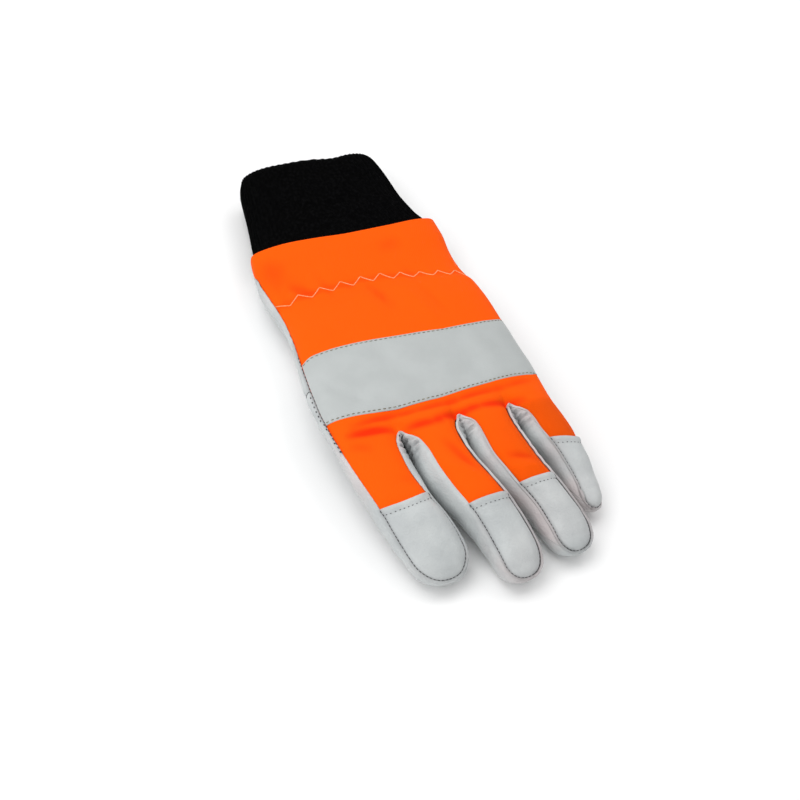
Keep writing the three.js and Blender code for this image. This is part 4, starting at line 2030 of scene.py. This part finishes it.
@dataclass(frozen=True)
class KnitCuff:
    """The black rib-knit wrist, nested in the hem, with a soft wavy rim."""

    ribs: int = 66
    samples: int = 6
    rows: int = 46
    rib_depth: float = 0.42
    nest: float = 9.5
    rim_out: float = 3.2
    rim_dip: Triple = (25.0, 11.0, 2.6)  # its x, width and depth
    rim_rise: Triple = (-18.0, 14.0, 1.6)
    rim_start: float = 105.0
    rim_run: float = 32.0
    upper_z: float = 12.0  # only the side over this one waves
    upper_run: float = 8.0
    hem_end: float = 95.0
    hem_run: float = 14.0
    hem_middle: float = 7.0
    hem_half: float = 52.0
    rim_roll: float = 1.1
    roll_width: float = 1.7
    lump: float = 0.5
    lump_size: float = 16.0
    sunk: float = 0.3
    wall: Wall = Wall(thick=2.2, round_edge=0.6)

    def rim(self, x: float) -> float:
        """How far the rim waves past its plain line.

        Args:
            x: The place across the cuff.

        Returns:
            Millimetres.
        """
        low, dip, depth = self.rim_dip
        high, rise, height = self.rim_rise
        return self.rim_out - depth * bell((x - low) / dip) + height * bell((x - high) / rise)

    def place(self, share: float, down: float) -> Vector:
        """A point of the knit.

        Args:
            share: From 0 round it to 1, starting on its right.
            down: From 0 at the rim to 1 inside the hem.

        Returns:
            The point in millimetres.
        """
        y = lerp(RIM_Y, HEM_Y - self.nest, down)
        point = CUFF.section(y).point(2 * math.pi * share, HAND_SQUARENESS)
        if point.z > self.upper_z:
            out = self.rim(point.x) * smooth((y - self.rim_start) / self.rim_run)
            point.y += out * smooth((point.z - self.upper_z) / self.upper_run)
        across = (point.x - self.hem_middle) / self.hem_half
        point.y += HEM_LINE.values(across)[0] * smooth((self.hem_end - y) / self.hem_run)
        return point

    def height(self, point: Vector, rim: Seams) -> float:
        """The knit's relief: its ribs, its rolled rim and its lumps.

        Args:
            point: The place.
            rim: The edge of the cuff's mouth.

        Returns:
            Millimetres over the plain surface.
        """
        turn = CUFF.section(point.y).turn_over(point.x, HAND_SQUARENESS)
        rib = self.rib_depth * (math.cos(turn * self.ribs) - 1) / 2
        roll = self.rim_roll * bell(rim.distance(point) / self.roll_width)
        lump = self.lump * noise.noise(point / self.lump_size + Vector((7, 0, 0)))
        return rib - roll + lump - self.sunk

    def make(self, seams: Seams, clothes: Wardrobe) -> None:
        """Makes the cuff.

        Args:
            seams: All sewn lines; the cuff heeds its rim alone.
            clothes: The finishes.
        """
        rim = Seams([trace(lambda share: self.place(share, 0.0), 160)])
        panel = Panel(
            self.ribs * self.samples, self.rows, self.place, CUFF.core,
            lambda p: self.height(p, rim), CUFF_FOLDS.depth,
        )
        make_skin(
            "knit_wrist", "knit_cuff", Slot.KNIT, clothes.knit, self.wall, [panel], rim, weld=True
        )


# Stage


@dataclass(frozen=True)
class Studio:
    """The floor, the soft light and the camera, in metres."""

    place: Triple = (-0.3082, -0.4405, 0.5858)
    right: Triple = (0.8875, -0.4387, 0.1412)
    up: Triple = (0.2502, 0.716, 0.6518)
    back: Triple = (-0.387, -0.5431, 0.7452)
    lens: float = 72.07
    sensor: float = 36.0
    nearest: float = 0.01
    ambient: float = 0.53
    floor_size: float = 4.0
    floor_z: float = -0.0004
    aim: Triple = (0, 0, 0.01)
    lights: tuple = (  # name, place, watts and size
        ("key", (-0.42, 0.42, 1.3), 9.6, 1.1),
        ("fill", (-1.1, -0.3, 0.8), 5.4, 0.9),
        ("side fill", (0.75, 0.4, 1.3), 4.6, 0.9),
    )

    def camera(self) -> None:
        """Adds the camera."""
        data = bpy.data.cameras.new("camera")
        data.lens = self.lens
        data.sensor_width = self.sensor
        data.clip_start = self.nearest
        camera = bpy.data.objects.new("camera", data)
        bpy.context.scene.collection.objects.link(camera)
        turn = Matrix((self.right, self.up, self.back)).transposed().to_4x4()
        camera.matrix_world = Matrix.Translation(self.place) @ turn
        bpy.context.scene.camera = camera

    def floor(self) -> None:
        """Adds the floor."""
        bm = bmesh.new()
        bmesh.ops.create_grid(bm, x_segments=1, y_segments=1, size=self.floor_size)
        mesh = bpy.data.meshes.new("floor")
        bm.to_mesh(mesh)
        bm.free()
        mesh.materials.append(FloorFinish().make())
        floor = bpy.data.objects.new("floor", mesh)
        floor.location.z = self.floor_z
        bpy.context.scene.collection.objects.link(floor)

    def light(self, name: str, place: Sequence[float], power: float, size: float) -> None:
        """Adds a square soft light that looks at the glove.

        Args:
            name: Its name.
            place: Where it stands.
            power: Its watts.
            size: The length of its side.
        """
        data = bpy.data.lights.new(name, "AREA")
        data.energy = power
        data.size = size
        light = bpy.data.objects.new(name, data)
        bpy.context.scene.collection.objects.link(light)
        aim = (Vector(self.aim) - Vector(place)).to_track_quat("-Z", "Y")
        light.matrix_world = Matrix.Translation(place) @ aim.to_matrix().to_4x4()

    def build(self) -> None:
        """Sets the stage."""
        self.camera()
        self.floor()
        world = bpy.data.worlds.new("soft light")
        world.use_nodes = True
        background = world.node_tree.nodes["Background"]
        background.inputs["Color"].default_value = (1, 1, 1, 1)
        background.inputs["Strength"].default_value = self.ambient
        bpy.context.scene.world = world
        for light in self.lights:
            self.light(*light)
        scene = bpy.context.scene
        scene.view_settings.view_transform = "Standard"
        scene.view_settings.look = "None"


def sewn_lines() -> Seams:
    """All seams of the back, the caps and the fingers' sides.

    Returns:
        The lines, and those that get painted shade.
    """
    lines, shaded = [left_seam()], [left_seam(CROTCH_Y, SHADED_TOP)]
    for finger in FINGERS:
        end = LITTLE_SEAM_END if finger is LITTLE else 1.0
        lines += [back_seam(finger, 0.0, end), cap_arc(finger)]
        shaded.append(back_seam(finger, finger.cap_share, 1 - finger.cap_share))
    lines += [web_arc(number) for number in range(len(FINGERS) - 1)]
    return Seams(lines, shaded)


def main() -> None:
    """Builds the glove and its stage."""
    logging.basicConfig(level=logging.INFO, format="%(name)s: %(message)s")
    clothes = Wardrobe()
    seams = sewn_lines()
    pieces = [
        KnitCuff(),
        WovenBack(),
        BAND,
        *[FingerCap(finger) for finger in FINGERS],
        Gusset("index_middle_gusset", INDEX, MIDDLE),
        Gusset("middle_ring_gusset", MIDDLE, RING),
        Gusset("ring_little_gusset", RING, LITTLE),
        PalmLeather(),
        ThumbLeather(),
    ]
    for piece in pieces:
        piece.make(seams, clothes)
    Studio().build()


if __name__ == "__main__":
    main()
